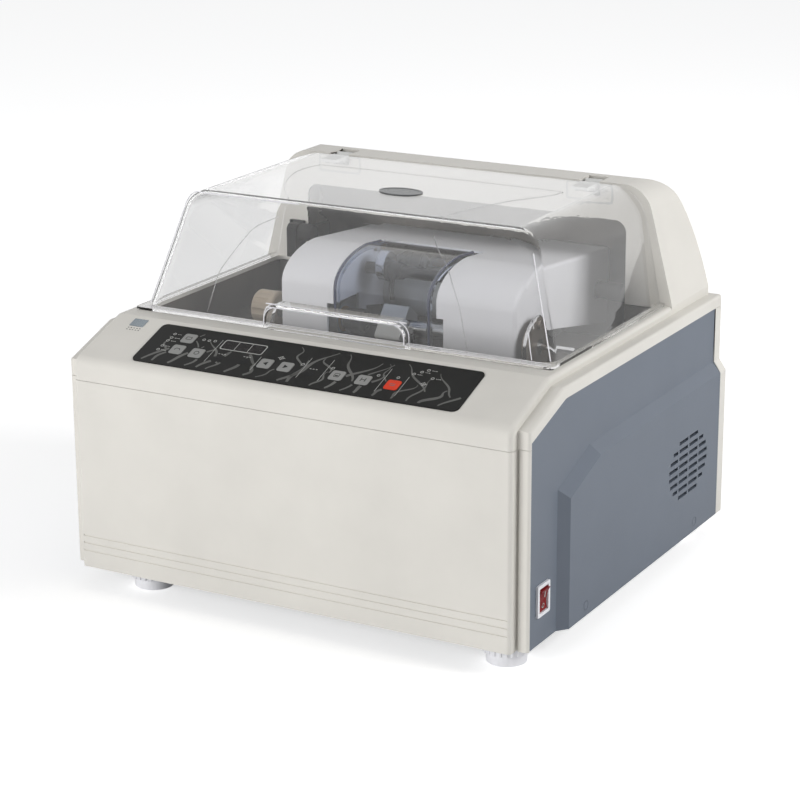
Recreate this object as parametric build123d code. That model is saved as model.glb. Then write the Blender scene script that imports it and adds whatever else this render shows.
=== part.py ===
from build123d import *
from math import acos, atan, cos, degrees, hypot, radians, sin, sqrt, tan
import os

# Automatic bench edger for optical lenses: a moulded housing with a clear hood, a swinging
# and traversing grinding head over a wet chamber, and a side-vented body on four feet.
# Millimetres. While modelling, X is right, Y runs back from the front panel's face and Z
# runs up from the panel's lower edge. Everything is moved to the origin at export.

# ---- driving dimensions: housing ----
FRONT_W = 470.0          # front panel and upper shell
FRAME_STEP = 12.4        # how far the side frame stands out beyond the front panel
BODY_D = 448.4           # front face to rear face
SEAM_Z = 191.0           # split line between lower housing and upper shell
DECK_Z = 239.5           # top of the upper shell under the hood
LEDGE_DROP = 8.5         # side ledge below the deck
LEDGE_EDGE_H = 11.3      # ledge's outer wall above the side panel
SLOPE_FRONT_Z = 212.3    # control slope at the front face
SLOPE_REAR_Y = 75.0      # where the control slope meets the deck
STRIP_BACK = 11.0        # frame strip set back from the front face
STRIP_W = 3.0            # depth of the frame strip before the side panel starts
WALL = 3.5               # moulded walls
SEAM_GAP = 0.4
FOOT_H = 22.0
FOOT_INSET = 43.4        # foot centres from the front and rear faces

# ---- hump at the back ----
HUMP_D = 98.4            # from the hump's face to the rear face of the body
HUMP_TOP_Z = 357.0
HUMP_FLAT = 30.0         # level part of its top, before the crown
HUMP_LEAN = 0.26         # side wall leans in by this much per unit of height
HUMP_CORNER_R = 31.0
HUMP_STEP = 5.0          # from the hump's rear foot to the rear face
MOUTH_W = 365.0          # opening in the hump's face
MOUTH_TOP_Z = 319.5
MOUTH_R = 12.0

# ---- chamber and wet tray ----
CHAMBER_W = 438.0
CHAMBER_Y = 112.0
TRAY_T = 2.5
SHELF_Z = 198.0
WELL_W = 424.0
WELL_Y = 116.0
WELL_REAR_Y = 246.0
WELL_MID_W = 212.0
WELL_MID_REAR_Y = 282.0
WELL_Z = 96.0

# ---- side panels and vent ----
PANEL_T = 3.0
PANEL_INSET = 1.0
FIELD_H = 8.4            # height of the raised field on each side panel
FIELD_FOOT = ((70.0, 137.0), (137.0, 161.0))      # (Y, Z) corners at the foot of its slanted band
FIELD_TOP = ((80.5, 127.0), (144.4, 150.0))       # the same corners at the top of the band
FIELD_RISE = 0.008       # the band's rise toward the rear
PANEL_CHAMFER = ((14.4, 197.1), (82.7, 219.7))    # upper front corner of the panel
VENT_Y, VENT_Z = 355.5, 77.0
VENT_L, VENT_H = 100.0, 65.0
VENT_ROWS = 8
VENT_SLOT_H = 3.6
VENT_RIB = 3.4
CAP_R = 4.6
CAP_Y, CAP_Z = (117.0, 376.0), 10.5

# ---- hood ----
HOOD_T = 3.0
HOOD_BASE_W = 446.0
HOOD_TOP_W = 374.0       # at the front, measured to the corner before it is rounded
HOOD_REAR_TOP_W = 400.0
HOOD_FRONT_R = 24.0      # rounding of the long upper edges at the front and at the rear
HOOD_REAR_R = 38.0
HOOD_RIM_R = 14.0        # rounding round the front face
HOOD_BASE_Y = 105.0
HOOD_TOP_Y = 131.0
HOOD_GAP = 1.0           # to the hump's face
HOOD_FLANGE = 4.5        # lip at the sides
HOOD_LIP = 11.0          # lip in front
HOOD_FLANGE_T = 2.7
GRIP_W, GRIP_H, GRIP_D = 158.0, 24.0, 13.0
HOOD_PIVOT_BACK = 12.0   # behind the hump's face
HOOD_PIVOT_Z = 352.5
HINGE_X = 143.0
HINGE_W = 20.0
HINGE_PIN_R = 1.8
HINGE_BARREL_R = 4.0

# ---- head ----
HEAD_X = (-118.0, 143.0)
HEAD_Y = 190.0
HEAD_TOP_Z = 290.6
HEAD_BOTTOM_Z = 203.0
HEAD_BACK = 49.0         # rear edge of the cover, behind the hump's face
HEAD_BACK_Z = 278.0
HEAD_ROLL_D = 64.0       # depth of the elliptical roll at the cover's front top edge
CREASE_Z = 258.6         # where that roll starts
SIDE_STEP = (255.0, 227.0)       # (Y, Z) where the side's lower edge steps up
GAP_X = (-57.0, 58.0)    # working gap between the head's two boxes
GAP_REAR_Y = 292.0
GAP_NOTCH = 7.5          # the gap is this much wider at each side round the lens shafts
NOTCH_TOP_Z = 243.5
COVER_T = 2.5
SHAFT_BACK = 25.0        # carriage shaft, behind the hump's face
SHAFT_Z = 240.0
SHAFT_R = 9.0
LENS_Y, LENS_Z = 220.0, 221.0
LENS_SHAFT_R = 8.0
RUN_CLEAR = 0.05         # radial running clearance of every shaft
FREE_CLEAR = 0.4         # between curved faces that only pass each other
CLAMP_TRAVEL = 17.0
CHUCK_FACE_X = (-38.0, -17.5)
PAD_R, PAD_L = 12.0, 20.0        # round pad on the left lens shaft
BLOCK_L, BLOCK_H, BLOCK_D = 28.5, 37.0, 23.0      # chuck block on the right lens shaft
BLOCK_REST = 38.0        # degrees that the block leans back at rest
KNOB_X = (-163.0, -137.0)
KNOB_R = 18.0
DISC_X = 150.0
DISC_R = 30.0
TUBE_FRONT, TUBE_Z, TUBE_R = 61.0, 232.0, 25.0    # splash tube, before the carriage shaft
VISOR_X = (-56.4, 50.0)
VISOR_REAR_Y = 282.0
VISOR_LOW_Z = 231.5      # lower edge; the right rib reaches further down
VISOR_RIB_Z = 212.0
VISOR_RIB_W, VISOR_RIB_D = 3.5, 6.5
VISOR_PIVOT_Y, VISOR_PIVOT_Z = 284.0, 280.5
VISOR_T = 2.5

# ---- grinding drive ----
WHEEL_Y, WHEEL_Z, WHEEL_R = 220.0, 149.5, 50.0
WHEEL_X0 = -76.0
WHEEL_WIDTHS = (26.0, 22.0, 18.0)
SPINDLE_R = 10.0
MOTOR_BACK, MOTOR_Z, MOTOR_R = 20.0, 76.0, 52.0   # behind the hump's face
MOTOR_X = (-190.0, -40.0)
PULLEY_X = -235.0
PULLEY_W = 12.0
SPINDLE_PULLEY_R = 21.0
MOTOR_PULLEY_R = 28.0
BELT_T = 3.0

# ---- controls ----
OVERLAY_W, OVERLAY_L = 350.0, 62.0
OVERLAY_START = 10.0     # from the front edge of the slope, measured along Y
OVERLAY_T = 1.8
OVERLAY_PROUD = 0.9      # how far its face stands above the slope
OVERLAY_R = 6.0
KEY = 14.0
KEY_RISE = 0.5
KEY_TRAVEL = 0.4
KEYS = {                 # name: (X, distance up the slope from the overlay's lower edge)
    "key_mode": (-135.5, 44.5), "key_frame": (-137.2, 25.5), "key_lens": (-114.8, 24.5),
    "key_size_down": (-38.3, 25.0), "key_size_up": (-16.2, 24.7), "key_left": (39.5, 24.0),
    "key_right": (67.5, 23.5), "key_start": (98.3, 23.0),
}
DISPLAY_X, DISPLAY_S, DISPLAY_W, DISPLAY_L = -73.5, 44.0, 44.0, 12.0
ROCKER_Y, ROCKER_Z = 40.3, 42.6
BEZEL_L, BEZEL_H = 25.0, 30.5
ROCKER_REST = 9.0        # degrees that the rocker leans at rest

SPIGOT_R = 10.5          # outside of the drain's hose end
BEVEL_GROOVE = 4.0       # half width and depth of the bevel groove
SCREW_BACK, SCREW_Z, SCREW_R = 62.0, 224.0, 5.0   # lead screw, behind the hump's face
SLEEVE_X = (-72.0, 97.0)
SLEEVE_R = 14.0
NUT_ARM_X = (4.0, 24.0)
ARM_X = ((-72.0, -62.0), (63.0, 73.0))
OUTER_X = ((-112.0, -105.0), (130.0, 137.0))
LUG_X = ((-71.0, -40.0), (66.0, 96.0))
BUSH_R = 13.0
LAY_R = 6.0
DRIVE_R = 16.0
BELT_LEFT_X = (-98.0, -86.0)
BELT_RIGHT_X = (112.0, 124.0)
LENS_MOTOR_X = (73.0, 107.0)
LENS_MOTOR_R = 21.0
BAR_Y, BAR_Z, BAR_R = 258.0, 266.0, 6.0
NOZZLE_X = -22.0
PLATE_X = (203.0, 210.0)         # carriage side frames, on each side
PLATE_MARGIN = 12.0              # frame material round the shaft and the screw
STOP_X = (-197.0, -186.0)        # traverse stop: its black lug
STOP_Z = 271.0
STUD_R = 3.0
HEAD_OUT = 50.0                  # travel of the head to the left, up to the stop
BUMPER_X1 = HEAD_X[0] - HEAD_OUT - FREE_CLEAR
TRANSFORMER_X = (125.0, 195.0)
TRANSFORMER_Y = (45.0, 105.0)
VISOR_PIN_R = 2.5
BEARING_R = 20.0
HOUSING_R = 25.0         # bearing cartridge inside the well
MOTOR_SHAFT_R = 8.0
ROTOR_R = 25.0
ROCKER_PIN_R = 1.5
FAN_SIZE, FAN_T = 80.0, 25.0
BOARD_LIFT = -1.8        # top of the keypad board below the slope's face
GAP_BACK_Y = 296.0       # rear end of the gap's cheeks

# ---- derived ----
HUMP_Y = BODY_D - HUMP_D
HUMP_REAR_Y = BODY_D - HUMP_STEP
HOOD_PIVOT_Y = HUMP_Y + HOOD_PIVOT_BACK
HEAD_REAR_Y = HUMP_Y + HEAD_BACK
SHAFT_Y = HUMP_Y + SHAFT_BACK
SCREW_Y = HUMP_Y + SCREW_BACK
TUBE_Y = SHAFT_Y - TUBE_FRONT
MOTOR_Y = HUMP_Y + MOTOR_BACK
HOOD_LOW_Z = DECK_Z + 0.3
LAY_Y, LAY_Z = TUBE_Y, TUBE_Z
HALF = FRONT_W / 2
FRAME = HALF + FRAME_STEP
PANEL_X = FRAME - PANEL_INSET
LEDGE_Z = DECK_Z - LEDGE_DROP
PANEL_TOP_Z = LEDGE_Z - LEDGE_EDGE_H
SLOPE = (DECK_Z - SLOPE_FRONT_Z) / SLOPE_REAR_Y
SLOPE_DEG = degrees(atan(SLOPE))
LIP_X = PANEL_X - PANEL_T
REAR_SPLIT_Y = BODY_D - 14.4         # side panels and shell skirts end here, the rear frame follows
BASE_T = 3.0
BASE_Z = 1.0
FLOOR_Z = BASE_Z + BASE_T
ORIGIN = (0, -BODY_D / 2, FOOT_H)


# ---- helpers ----
def box(x0, x1, y0, y1, z0, z1):
    return Pos((x0 + x1) / 2, (y0 + y1) / 2, (z0 + z1) / 2) * Box(x1 - x0, y1 - y0, z1 - z0)


def rod(x0, x1, y, z, r):
    return Pos((x0 + x1) / 2, y, z) * Rot(0, 90, 0) * Cylinder(r, x1 - x0)


def tube(x0, x1, y, z, r_out, r_in):
    return rod(x0, x1, y, z, r_out) - rod(x0 - 1, x1 + 1, y, z, r_in)


def post(x, y, z0, z1, r):
    return Pos(x, y, (z0 + z1) / 2) * Cylinder(r, z1 - z0)


def side_prism(outline, x0, x1):
    """Prism along X of an outline drawn in Y and Z."""
    return Pos(x0, 0, 0) * extrude(make_face(Plane.YZ * outline), x1 - x0, dir=(1, 0, 0))


def front_prism(outline, y0, y1):
    """Prism along Y of an outline drawn in X and Z."""
    plane = Plane(origin=(0, y0, 0), x_dir=(1, 0, 0), z_dir=(0, -1, 0))
    return extrude(make_face(plane * outline), y1 - y0, dir=(0, 1, 0))


def plan_prism(outline, z0, z1):
    return Pos(0, 0, z0) * extrude(make_face(outline), z1 - z0, dir=(0, 0, 1))


def polygon(*points):
    return Polyline(*points, close=True)


def both_sides(shape):
    return [shape, mirror(shape, Plane.YZ)]


def slope_z(y):
    return SLOPE_FRONT_Z + SLOPE * y


def on_slope(x, s, lift=0.0):
    """A place on the control slope, s up from the overlay's lower edge, raised by lift."""
    y = OVERLAY_START + s * cos(radians(SLOPE_DEG))
    place = Pos(x, y, slope_z(y)) * Rot(SLOPE_DEG, 0, 0)
    return place * Pos(0, 0, lift)


# ---- housing outlines ----
def shell_outline(inset, bottom):
    """Side view of the control slope and deck, drawn in by inset."""
    run = inset * tan(radians(SLOPE_DEG / 2))
    return Polyline(
        (inset, bottom), (inset, SLOPE_FRONT_Z + SLOPE * inset - inset / cos(radians(SLOPE_DEG))),
        (SLOPE_REAR_Y + run, DECK_Z - inset), (HUMP_REAR_Y - inset, DECK_Z - inset),
        (HUMP_REAR_Y - inset, bottom), close=True)


def ledge_outline(drop, front, rear, bottom):
    corner_y = SLOPE_REAR_Y + 2
    return Polyline((front, bottom), (front, slope_z(front) - LEDGE_DROP - drop),
                    (corner_y, LEDGE_Z - drop), (rear, LEDGE_Z - drop), (rear, bottom), close=True)


def hump_solid(inset):
    """The hump behind the hood: a side view and a front view, both drawn in by inset."""
    top, rear, mid_z = HUMP_TOP_Z - inset, HUMP_REAR_Y - inset, DECK_Z + 1
    crown_y = HUMP_Y + HUMP_FLAT
    side = Polyline((crown_y, top), (HUMP_Y + inset, top), (HUMP_Y + inset, DECK_Z - WALL - 1),
                    (rear, DECK_Z - WALL - 1), (rear, mid_z))
    side += EllipticalCenterArc((crown_y, mid_z), rear - crown_y, top - mid_z, start_angle=0, arc_size=90)
    low_z = DECK_Z - WALL - 2
    half_low = HALF - inset + HUMP_LEAN * (DECK_Z - low_z)
    half_top = HALF - inset - HUMP_LEAN * (top - DECK_Z)
    front = Polyline((-half_low, low_z), (-half_top, top), (half_top, top), (half_low, low_z), close=True)
    face = fillet(make_face(front).vertices().sort_by(Axis.Y)[-2:], HUMP_CORNER_R - inset)
    plane = Plane(origin=(0, HUMP_Y - 5, 0), x_dir=(1, 0, 0), z_dir=(0, -1, 0))
    across = extrude(plane * face, BODY_D - HUMP_Y + 10, dir=(0, 1, 0))
    return side_prism(side, -HALF, HALF) & across


def upper_shell():
    outer = side_prism(shell_outline(0, SEAM_Z), -HALF, HALF)
    outer = fillet(outer.edges().filter_by(Axis.X).group_by(Axis.Y)[0].sort_by(Axis.Z)[-1], 11.0)
    rim = [e for e in outer.faces().sort_by(Axis.Z)[-1].edges() if abs(abs(e.center().X) - HALF) < 0.1]
    slope_rim = [e for e in outer.edges() if abs(abs(e.center().X) - HALF) < 0.1
                 and e.center().Z > SEAM_Z + 5 and e.center().Y < SLOPE_REAR_Y]
    outer = fillet(rim + slope_rim, 4.5)
    outer += hump_solid(0)
    rear = BODY_D
    ledge = side_prism(ledge_outline(0, STRIP_BACK, rear, SEAM_Z), -FRAME, FRAME)
    corner = [e for e in ledge.edges() if abs(abs(e.center().X) - FRAME) < 0.1
              and (e.center().Z > PANEL_TOP_Z - 15 or e.center().Y < STRIP_BACK + 1)
              and e.center().Y < rear - 1 and e.center().Z > SEAM_Z + 1]
    ledge = fillet(corner, 2.8)
    for x0, x1 in ((-FRAME - 1, -LIP_X), (LIP_X, FRAME + 1)):
        (fy, fz), (cy, cz) = PANEL_CHAMFER
        notch = polygon((STRIP_BACK + STRIP_W, SEAM_Z - 1), (STRIP_BACK + STRIP_W, fz), (cy, cz),
                        (rear + 1, cz), (rear + 1, SEAM_Z - 1))
        ledge -= side_prism(notch, x0, x1)
    shell = outer + ledge
    shell -= side_prism(shell_outline(WALL, SEAM_Z - 1), -HALF + WALL, HALF - WALL)
    shell -= hump_solid(WALL) - box(-HALF, HALF, 0, BODY_D, 0, DECK_Z - WALL - 0.5)
    ledge_room = side_prism(ledge_outline(WALL, STRIP_BACK + WALL, rear - WALL, SEAM_Z - 1),
                            -LIP_X + 2, LIP_X - 2)
    shell -= ledge_room - side_prism(shell_outline(0, SEAM_Z - 2), -HALF, HALF)
    shell -= box(-HALF + WALL, HALF - WALL, HUMP_REAR_Y - WALL - 1, BODY_D - WALL, SEAM_Z - 1, LEDGE_Z - WALL)
    shell -= box(-FRAME - 1, FRAME + 1, REAR_SPLIT_Y, rear + 1, SEAM_Z - 2, PANEL_TOP_Z)
    shell -= mouth_cut() + chamber_cut() + overlay_pocket()
    for x in (-HINGE_X, HINGE_X):
        shell -= box(x - HINGE_W / 2 - 1, x + HINGE_W / 2 + 1, HUMP_Y - 1, HOOD_PIVOT_Y + 12,
                     HOOD_PIVOT_Z - 9, HUMP_TOP_Z + 1)
        shell -= box(x - HINGE_W / 2 - 6.3, x + HINGE_W / 2 + 6.3, HOOD_PIVOT_Y - 8, HOOD_PIVOT_Y + 4,
                     HOOD_PIVOT_Z - 9, HOOD_PIVOT_Z + HINGE_PIN_R + 0.7)
    shell += shell_bosses()
    return shell


def shell_bosses():
    """Screw bosses moulded on the inside of the shell's side walls."""
    bosses = []
    for x in (-HALF + 7.5, HALF - 7.5):
        for y in (60.0, 370.0):
            top = min(slope_z(y), DECK_Z) - WALL
            bosses.append(post(x, y, SEAM_Z - 2, top + 1, 5.0))
    return bosses


def mouth_cut():
    low = SHELF_Z
    face = Pos(0, (MOUTH_TOP_Z + low) / 2) * RectangleRounded(MOUTH_W, MOUTH_TOP_Z - low, MOUTH_R)
    plane = Plane(origin=(0, HUMP_Y - 2, 0), x_dir=(1, 0, 0), z_dir=(0, -1, 0))
    return extrude(plane * face, WALL + 5, dir=(0, 1, 0))


def chamber_cut():
    length = HUMP_Y - CHAMBER_Y
    face = Pos(0, CHAMBER_Y + length / 2) * RectangleRounded(CHAMBER_W, length, 10)
    return Pos(0, 0, DECK_Z - 15) * extrude(face, 16)


def overlay_pocket():
    face = RectangleRounded(OVERLAY_W + 0.4, OVERLAY_L + 0.4, OVERLAY_R)
    deep = 0.8 - BOARD_LIFT
    pocket = on_slope(0, OVERLAY_L / 2, -deep) * extrude(face, deep + 0.5)
    return pocket


def lower_housing():
    """Front panel with its two set-back frame strips, in one moulding."""
    top = SEAM_Z - SEAM_GAP
    front = box(-HALF, HALF, 0, STRIP_BACK + WALL, 0, top)
    front = fillet(front.edges().filter_by(Axis.Z).group_by(Axis.Y)[0], 4.0)
    strips = box(-FRAME, FRAME, STRIP_BACK, STRIP_BACK + STRIP_W, 0, top)
    strips = fillet(strips.edges().filter_by(Axis.Z).group_by(Axis.Y)[0], 2.8)
    lips = box(-LIP_X, LIP_X, STRIP_BACK, STRIP_BACK + 16, 0, top)
    body = front + strips + lips
    body -= box(-HALF + WALL, HALF - WALL, WALL, STRIP_BACK + 17, -1, top + 1)
    for x in (-HALF - 1, HALF + 1):
        body -= box(x - 1, x + 1, STRIP_BACK - 1, STRIP_BACK + 2, -1, top + 1)
    for z in (17.2, 25.0, 32.6):
        body -= box(-HALF + 3, HALF - 3, -1, 0.9, z - 0.7, z + 0.7)
    ribs = [box(x - 1.2, x + 1.2, WALL - 0.5, WALL + 7, FLOOR_Z + 1, top - 4) for x in (-150, 0, 150)]
    return body + ribs


def field_frustum(grow):
    """Raised field of a side panel, from its foot outline to its top outline."""
    (fy0, fz0), (fy1, fz1) = FIELD_FOOT
    (ty0, tz0), (ty1, tz1) = FIELD_TOP
    far_y, low_z = BODY_D + 60, -60.0
    foot = polygon((fy0, low_z), (fy0, fz0), (fy1, fz1), (far_y, fz1 + FIELD_RISE * (far_y - fy1)),
                   (far_y, low_z))
    top = polygon((ty0, low_z), (ty0, tz0), (ty1, tz1), (far_y, tz1 + FIELD_RISE * (far_y - ty1)),
                  (far_y, low_z))
    low = Plane(origin=(PANEL_X - grow, 0, 0), x_dir=(0, 1, 0), z_dir=(1, 0, 0))
    high = Plane(origin=(PANEL_X - grow + FIELD_H, 0, 0), x_dir=(0, 1, 0), z_dir=(1, 0, 0))
    return loft([make_face(low * foot), make_face(high * top)], ruled=True)


def panel_outline(x0, x1):
    (fy, fz), (cy, cz) = PANEL_CHAMFER
    front, rear, edge = STRIP_BACK + STRIP_W + 0.4, REAR_SPLIT_Y, 0.5
    return side_prism(polygon((front, 0), (front, fz - edge), (cy, cz - edge), (rear, cz - edge),
                              (rear, 0)), x0, x1)


def right_side_panel():
    plate = panel_outline(PANEL_X - PANEL_T, PANEL_X)
    plate += field_frustum(0) & panel_outline(PANEL_X - PANEL_T, PANEL_X + FIELD_H + 1)
    plate -= field_frustum(PANEL_T) - box(0, PANEL_X - PANEL_T, -90, 700, -90, 400)
    plate -= box(PANEL_X - PANEL_T - 9, PANEL_X - PANEL_T, 0, BODY_D, -1, 300)
    return plate


def side_panel(mirrored):
    panel = right_side_panel()
    if mirrored:
        return mirror(panel - cap_holes(), Plane.YZ)
    panel -= cap_holes() + vent_slots()
    panel -= box(PANEL_X - 9, PANEL_X + 9, ROCKER_Y - BEZEL_L / 2 + 1.6, ROCKER_Y + BEZEL_L / 2 - 1.6,
                 ROCKER_Z - BEZEL_H / 2 + 1.6, ROCKER_Z + BEZEL_H / 2 - 1.6)
    return panel


def cap_holes():
    return [rod(PANEL_X - 9, PANEL_X + 20, y, CAP_Z, CAP_R + 0.2) for y in CAP_Y]


def vent_slots():
    """Rows of slots cut off by an oval, with upright ribs between them."""
    pitch = VENT_H / VENT_ROWS
    half_l, half_h = VENT_L / 2, VENT_H / 2
    cuts = []
    for row in range(VENT_ROWS):
        z = (row - (VENT_ROWS - 1) / 2) * pitch
        reach = half_l * sqrt(1 - (z / (half_h + 0.5)) ** 2)
        ribs = [r for r in (-VENT_L / 4, 0.0, VENT_L / 4) if abs(r) < reach - 2 * VENT_RIB]
        ends = [-reach] + ribs + [reach]
        for a, b in zip(ends, ends[1:]):
            y0 = VENT_Y + a + VENT_RIB / 2
            y1 = VENT_Y + b - VENT_RIB / 2
            cuts.append(box(PANEL_X, PANEL_X + FIELD_H + 1, y0, y1,
                            VENT_Z + z - VENT_SLOT_H / 2, VENT_Z + z + VENT_SLOT_H / 2))
    return cuts


def screw_caps():
    """Snap caps over the side panels' fixing screws."""
    caps = []
    for y in CAP_Y:
        face = PANEL_X + FIELD_H
        cap = rod(face - PANEL_T, face - 0.3, y, CAP_Z, CAP_R) + rod(face - 0.4, face, y, CAP_Z, CAP_R - 0.4)
        caps += both_sides(cap)
    return caps


def rear_panel():
    """Rear frame and back wall, following the side panels' raised field at its edges."""
    top = PANEL_TOP_Z - 0.6
    y0 = REAR_SPLIT_Y + SEAM_GAP
    (_, tz1), (_, fz1) = FIELD_TOP[1], FIELD_FOOT[1]
    tz = tz1 + FIELD_RISE * (BODY_D - FIELD_TOP[1][0])
    fz = fz1 + FIELD_RISE * (BODY_D - FIELD_FOOT[1][0])

    def outline(inset):
        wide, narrow = PANEL_X + FIELD_H - inset, FRAME - inset
        right = [(wide, 0), (wide, tz - inset / 2), (narrow, fz - inset / 2), (narrow, top - inset)]
        left = [(-x, z) for x, z in reversed(right)]
        return Polyline(*right, *left, close=True)

    pan = front_prism(outline(0), y0, BODY_D)
    pan -= front_prism(outline(WALL), y0 - 1, BODY_D - WALL)
    pan -= box(-HALF + 10, HALF - 10, y0 - 1, BODY_D - WALL, -1, 20)
    pan -= box(-15.5, 15.5, BODY_D - WALL - 1, BODY_D + 1, 32, 57)
    for i in range(9):
        x = 110 + i * 9.0
        pan -= box(x, x + 4, BODY_D - WALL - 1, BODY_D + 1, 60, 120)
    return pan


def base_plate():
    """Pressed base pan with a turned-up edge, pads for the feet and a belt-side slot."""
    side_y = STRIP_BACK + 17
    plate = box(-LIP_X + 3, LIP_X - 3, side_y, REAR_SPLIT_Y, BASE_Z, FLOOR_Z)
    plate += box(-HALF + WALL + 0.5, HALF - WALL - 0.5, WALL + 0.5, side_y, BASE_Z, FLOOR_Z)
    edge = box(-LIP_X + 3, LIP_X - 3, side_y, REAR_SPLIT_Y, BASE_Z, FLOOR_Z + 12)
    edge -= box(-LIP_X + 6, LIP_X - 6, WALL + 1, REAR_SPLIT_Y - 3, BASE_Z - 1, FLOOR_Z + 13)
    plate += edge
    for x, y in foot_places():
        plate -= post(x, y, -1, FLOOR_Z + 1, 3.2)
    plate -= post(0, 200, -1, FLOOR_Z + 1, 12.4)
    return plate


def foot_places():
    rear = BODY_D - FOOT_INSET
    return [(-178, FOOT_INSET - 3.4), (213, FOOT_INSET - 6.4), (-178, rear), (213, rear)]


def ribbed_ring(r_low, r_high, count):
    """Closed outline of a round rim with small upright ribs."""
    points = []
    for i in range(count):
        for step, r in ((0.0, r_low), (0.5, r_low), (0.6, r_high), (0.9, r_high)):
            a = radians(360 / count * (i + step))
            points.append((r * cos(a), r * sin(a)))
    return polygon(*points)


def feet():
    """Ribbed moulded feet, wider at the top."""
    made = []
    for x, y in foot_places():
        core = Pos(x, y, (BASE_Z - FOOT_H) / 2) * Cylinder(19, FOOT_H + BASE_Z)
        core += Pos(x, y, 0) * plan_prism(ribbed_ring(22.3, 23.3, 24), -11, -0.3)
        core -= Pos(x, y, -FOOT_H + 4) * Cylinder(6.5, 10)
        made.append(core - Pos(x, y, BASE_Z - FOOT_H / 2) * Cylinder(2.6, FOOT_H))
    return made


def foot_screws():
    made = []
    for x, y in foot_places():
        screw = post(x, y, -FOOT_H + 8, FLOOR_Z + 6, 2.5) + post(x, y, -FOOT_H + 5.5, -FOOT_H + 9, 5.5)
        made.append(screw + Pos(x, y, FLOOR_Z + 2.2) * extrude(RegularPolygon(5, 6), 4))
    return made


# ---- wet chamber ----
def wet_tray():
    """Moulded tray: a shelf at the back, a deep T-shaped well for the wheels, a hanging flange."""
    half, top = CHAMBER_W / 2, DECK_Z - WALL
    rear = HUMP_Y + WALL
    tray = box(-half - TRAY_T, half + TRAY_T, CHAMBER_Y - TRAY_T, rear, SHELF_Z - TRAY_T, top)
    tray += box(-half - 6, half + 6, CHAMBER_Y - 6, HUMP_Y - 1, top - TRAY_T, top)
    tray -= box(-half, half, CHAMBER_Y, HUMP_Y, SHELF_Z, top + 1)
    tray -= box(-MOUTH_W / 2, MOUTH_W / 2, HUMP_Y - 1, rear + 1, SHELF_Z, top + 1)
    tray -= box(-half - 7, half + 7, HUMP_Y - 0.5, rear + 1, top - 1.5, top + 1)
    tray += well(TRAY_T)
    tray -= well(0)
    tray -= rod(-WELL_W / 2 - 5, -WELL_W / 2 + 5, WHEEL_Y, WHEEL_Z, HOUSING_R + 0.3)
    tray -= post(0, 200, WELL_Z - 5, WELL_Z + 1, 9.2)
    return tray


def well(grow):
    low, high = WELL_Z - grow, SHELF_Z + (0 if grow else 1)
    wide = box(-WELL_W / 2 - grow, WELL_W / 2 + grow, WELL_Y - grow, WELL_REAR_Y + grow, low, high)
    mid = box(-WELL_MID_W / 2 - grow, WELL_MID_W / 2 + grow, WELL_Y - grow, WELL_MID_REAR_Y + grow, low, high)
    body = wide + mid
    floor_edges = body.faces().sort_by(Axis.Z)[0].edges()
    return fillet(floor_edges, 6.0 + grow)


def drain_spigot():
    """Drain pipe from the well's floor down through the base, with a stepped end for a hose."""
    z0, z1, step = -12.0, WELL_Z - TRAY_T, -0.5
    pipe = post(0, 200, step, z1, 12.0) + post(0, 200, z0, step + 0.5, SPIGOT_R)
    pipe += post(0, 200, z1 - 3, z1, 17)
    return pipe - post(0, 200, z0 - 1, z1 + 1, 9.2)


# ---- hood ----
def hood_section(y, share, inset, low):
    """Rounded cross-section of the hood; share runs from 0 at its front face to 1 at its rear."""
    high = HUMP_TOP_Z - 1 - inset
    base = HOOD_BASE_W / 2 - inset
    top = (HOOD_TOP_W + (HOOD_REAR_TOP_W - HOOD_TOP_W) * share) / 2 - inset * 0.75
    corner = HOOD_FRONT_R + (HOOD_REAR_R - HOOD_FRONT_R) * share - inset
    face = make_face(polygon((-base, low), (-top, high), (top, high), (base, low)))
    face = fillet(face.vertices().group_by(Axis.Y)[-1], corner)
    return Plane(origin=(0, y, 0), x_dir=(1, 0, 0), z_dir=(0, -1, 0)) * face


def hood_solid(inset, low):
    """Hood block drawn in by inset: a long body cut off by the leaning front face."""
    rear = HUMP_Y - HOOD_GAP + (1 if inset else 0)
    start = HOOD_BASE_Y - 15
    share = (start - HOOD_TOP_Y) / (HUMP_Y - HOOD_TOP_Y)
    body = loft([hood_section(start, share, inset, low), hood_section(rear, 1, inset, low)], ruled=True)
    rake = (HOOD_TOP_Y - HOOD_BASE_Y) / (HUMP_TOP_Z - 1 - HOOD_LOW_Z)
    y0, y1 = (HOOD_BASE_Y + inset + rake * (z - HOOD_LOW_Z) for z in (low - 5, HUMP_TOP_Z + 5))
    front = polygon((start - 5, low - 5), (y0, low - 5), (y1, HUMP_TOP_Z + 5), (start - 5, HUMP_TOP_Z + 5))
    body -= side_prism(front, -HOOD_BASE_W, HOOD_BASE_W)
    rim = body.faces().sort_by(Axis.Y)[0].edges().filter_by(lambda e: e.center().Z > low + 1)
    return fillet(rim, HOOD_RIM_R - inset)


def grip_solid(inset, low):
    half, high = GRIP_W / 2 - inset, HOOD_LOW_Z + GRIP_H - inset
    outline = polygon((-half, low), (-half + 2, high), (half - 2, high), (half, low))
    front = HOOD_BASE_Y - GRIP_D + inset
    face = make_face(outline)
    face = fillet(face.vertices().group_by(Axis.Y)[-1], 14.0 - inset)
    plane = Plane(origin=(0, front, 0), x_dir=(1, 0, 0), z_dir=(0, -1, 0))
    bump = extrude(plane * face, GRIP_D + 12 - inset, dir=(0, 1, 0))
    if inset:
        return bump
    return fillet(bump.faces().sort_by(Axis.Y)[0].edges().filter_by(lambda e: e.center().Z > low + 0.5), 3.0)


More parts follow.
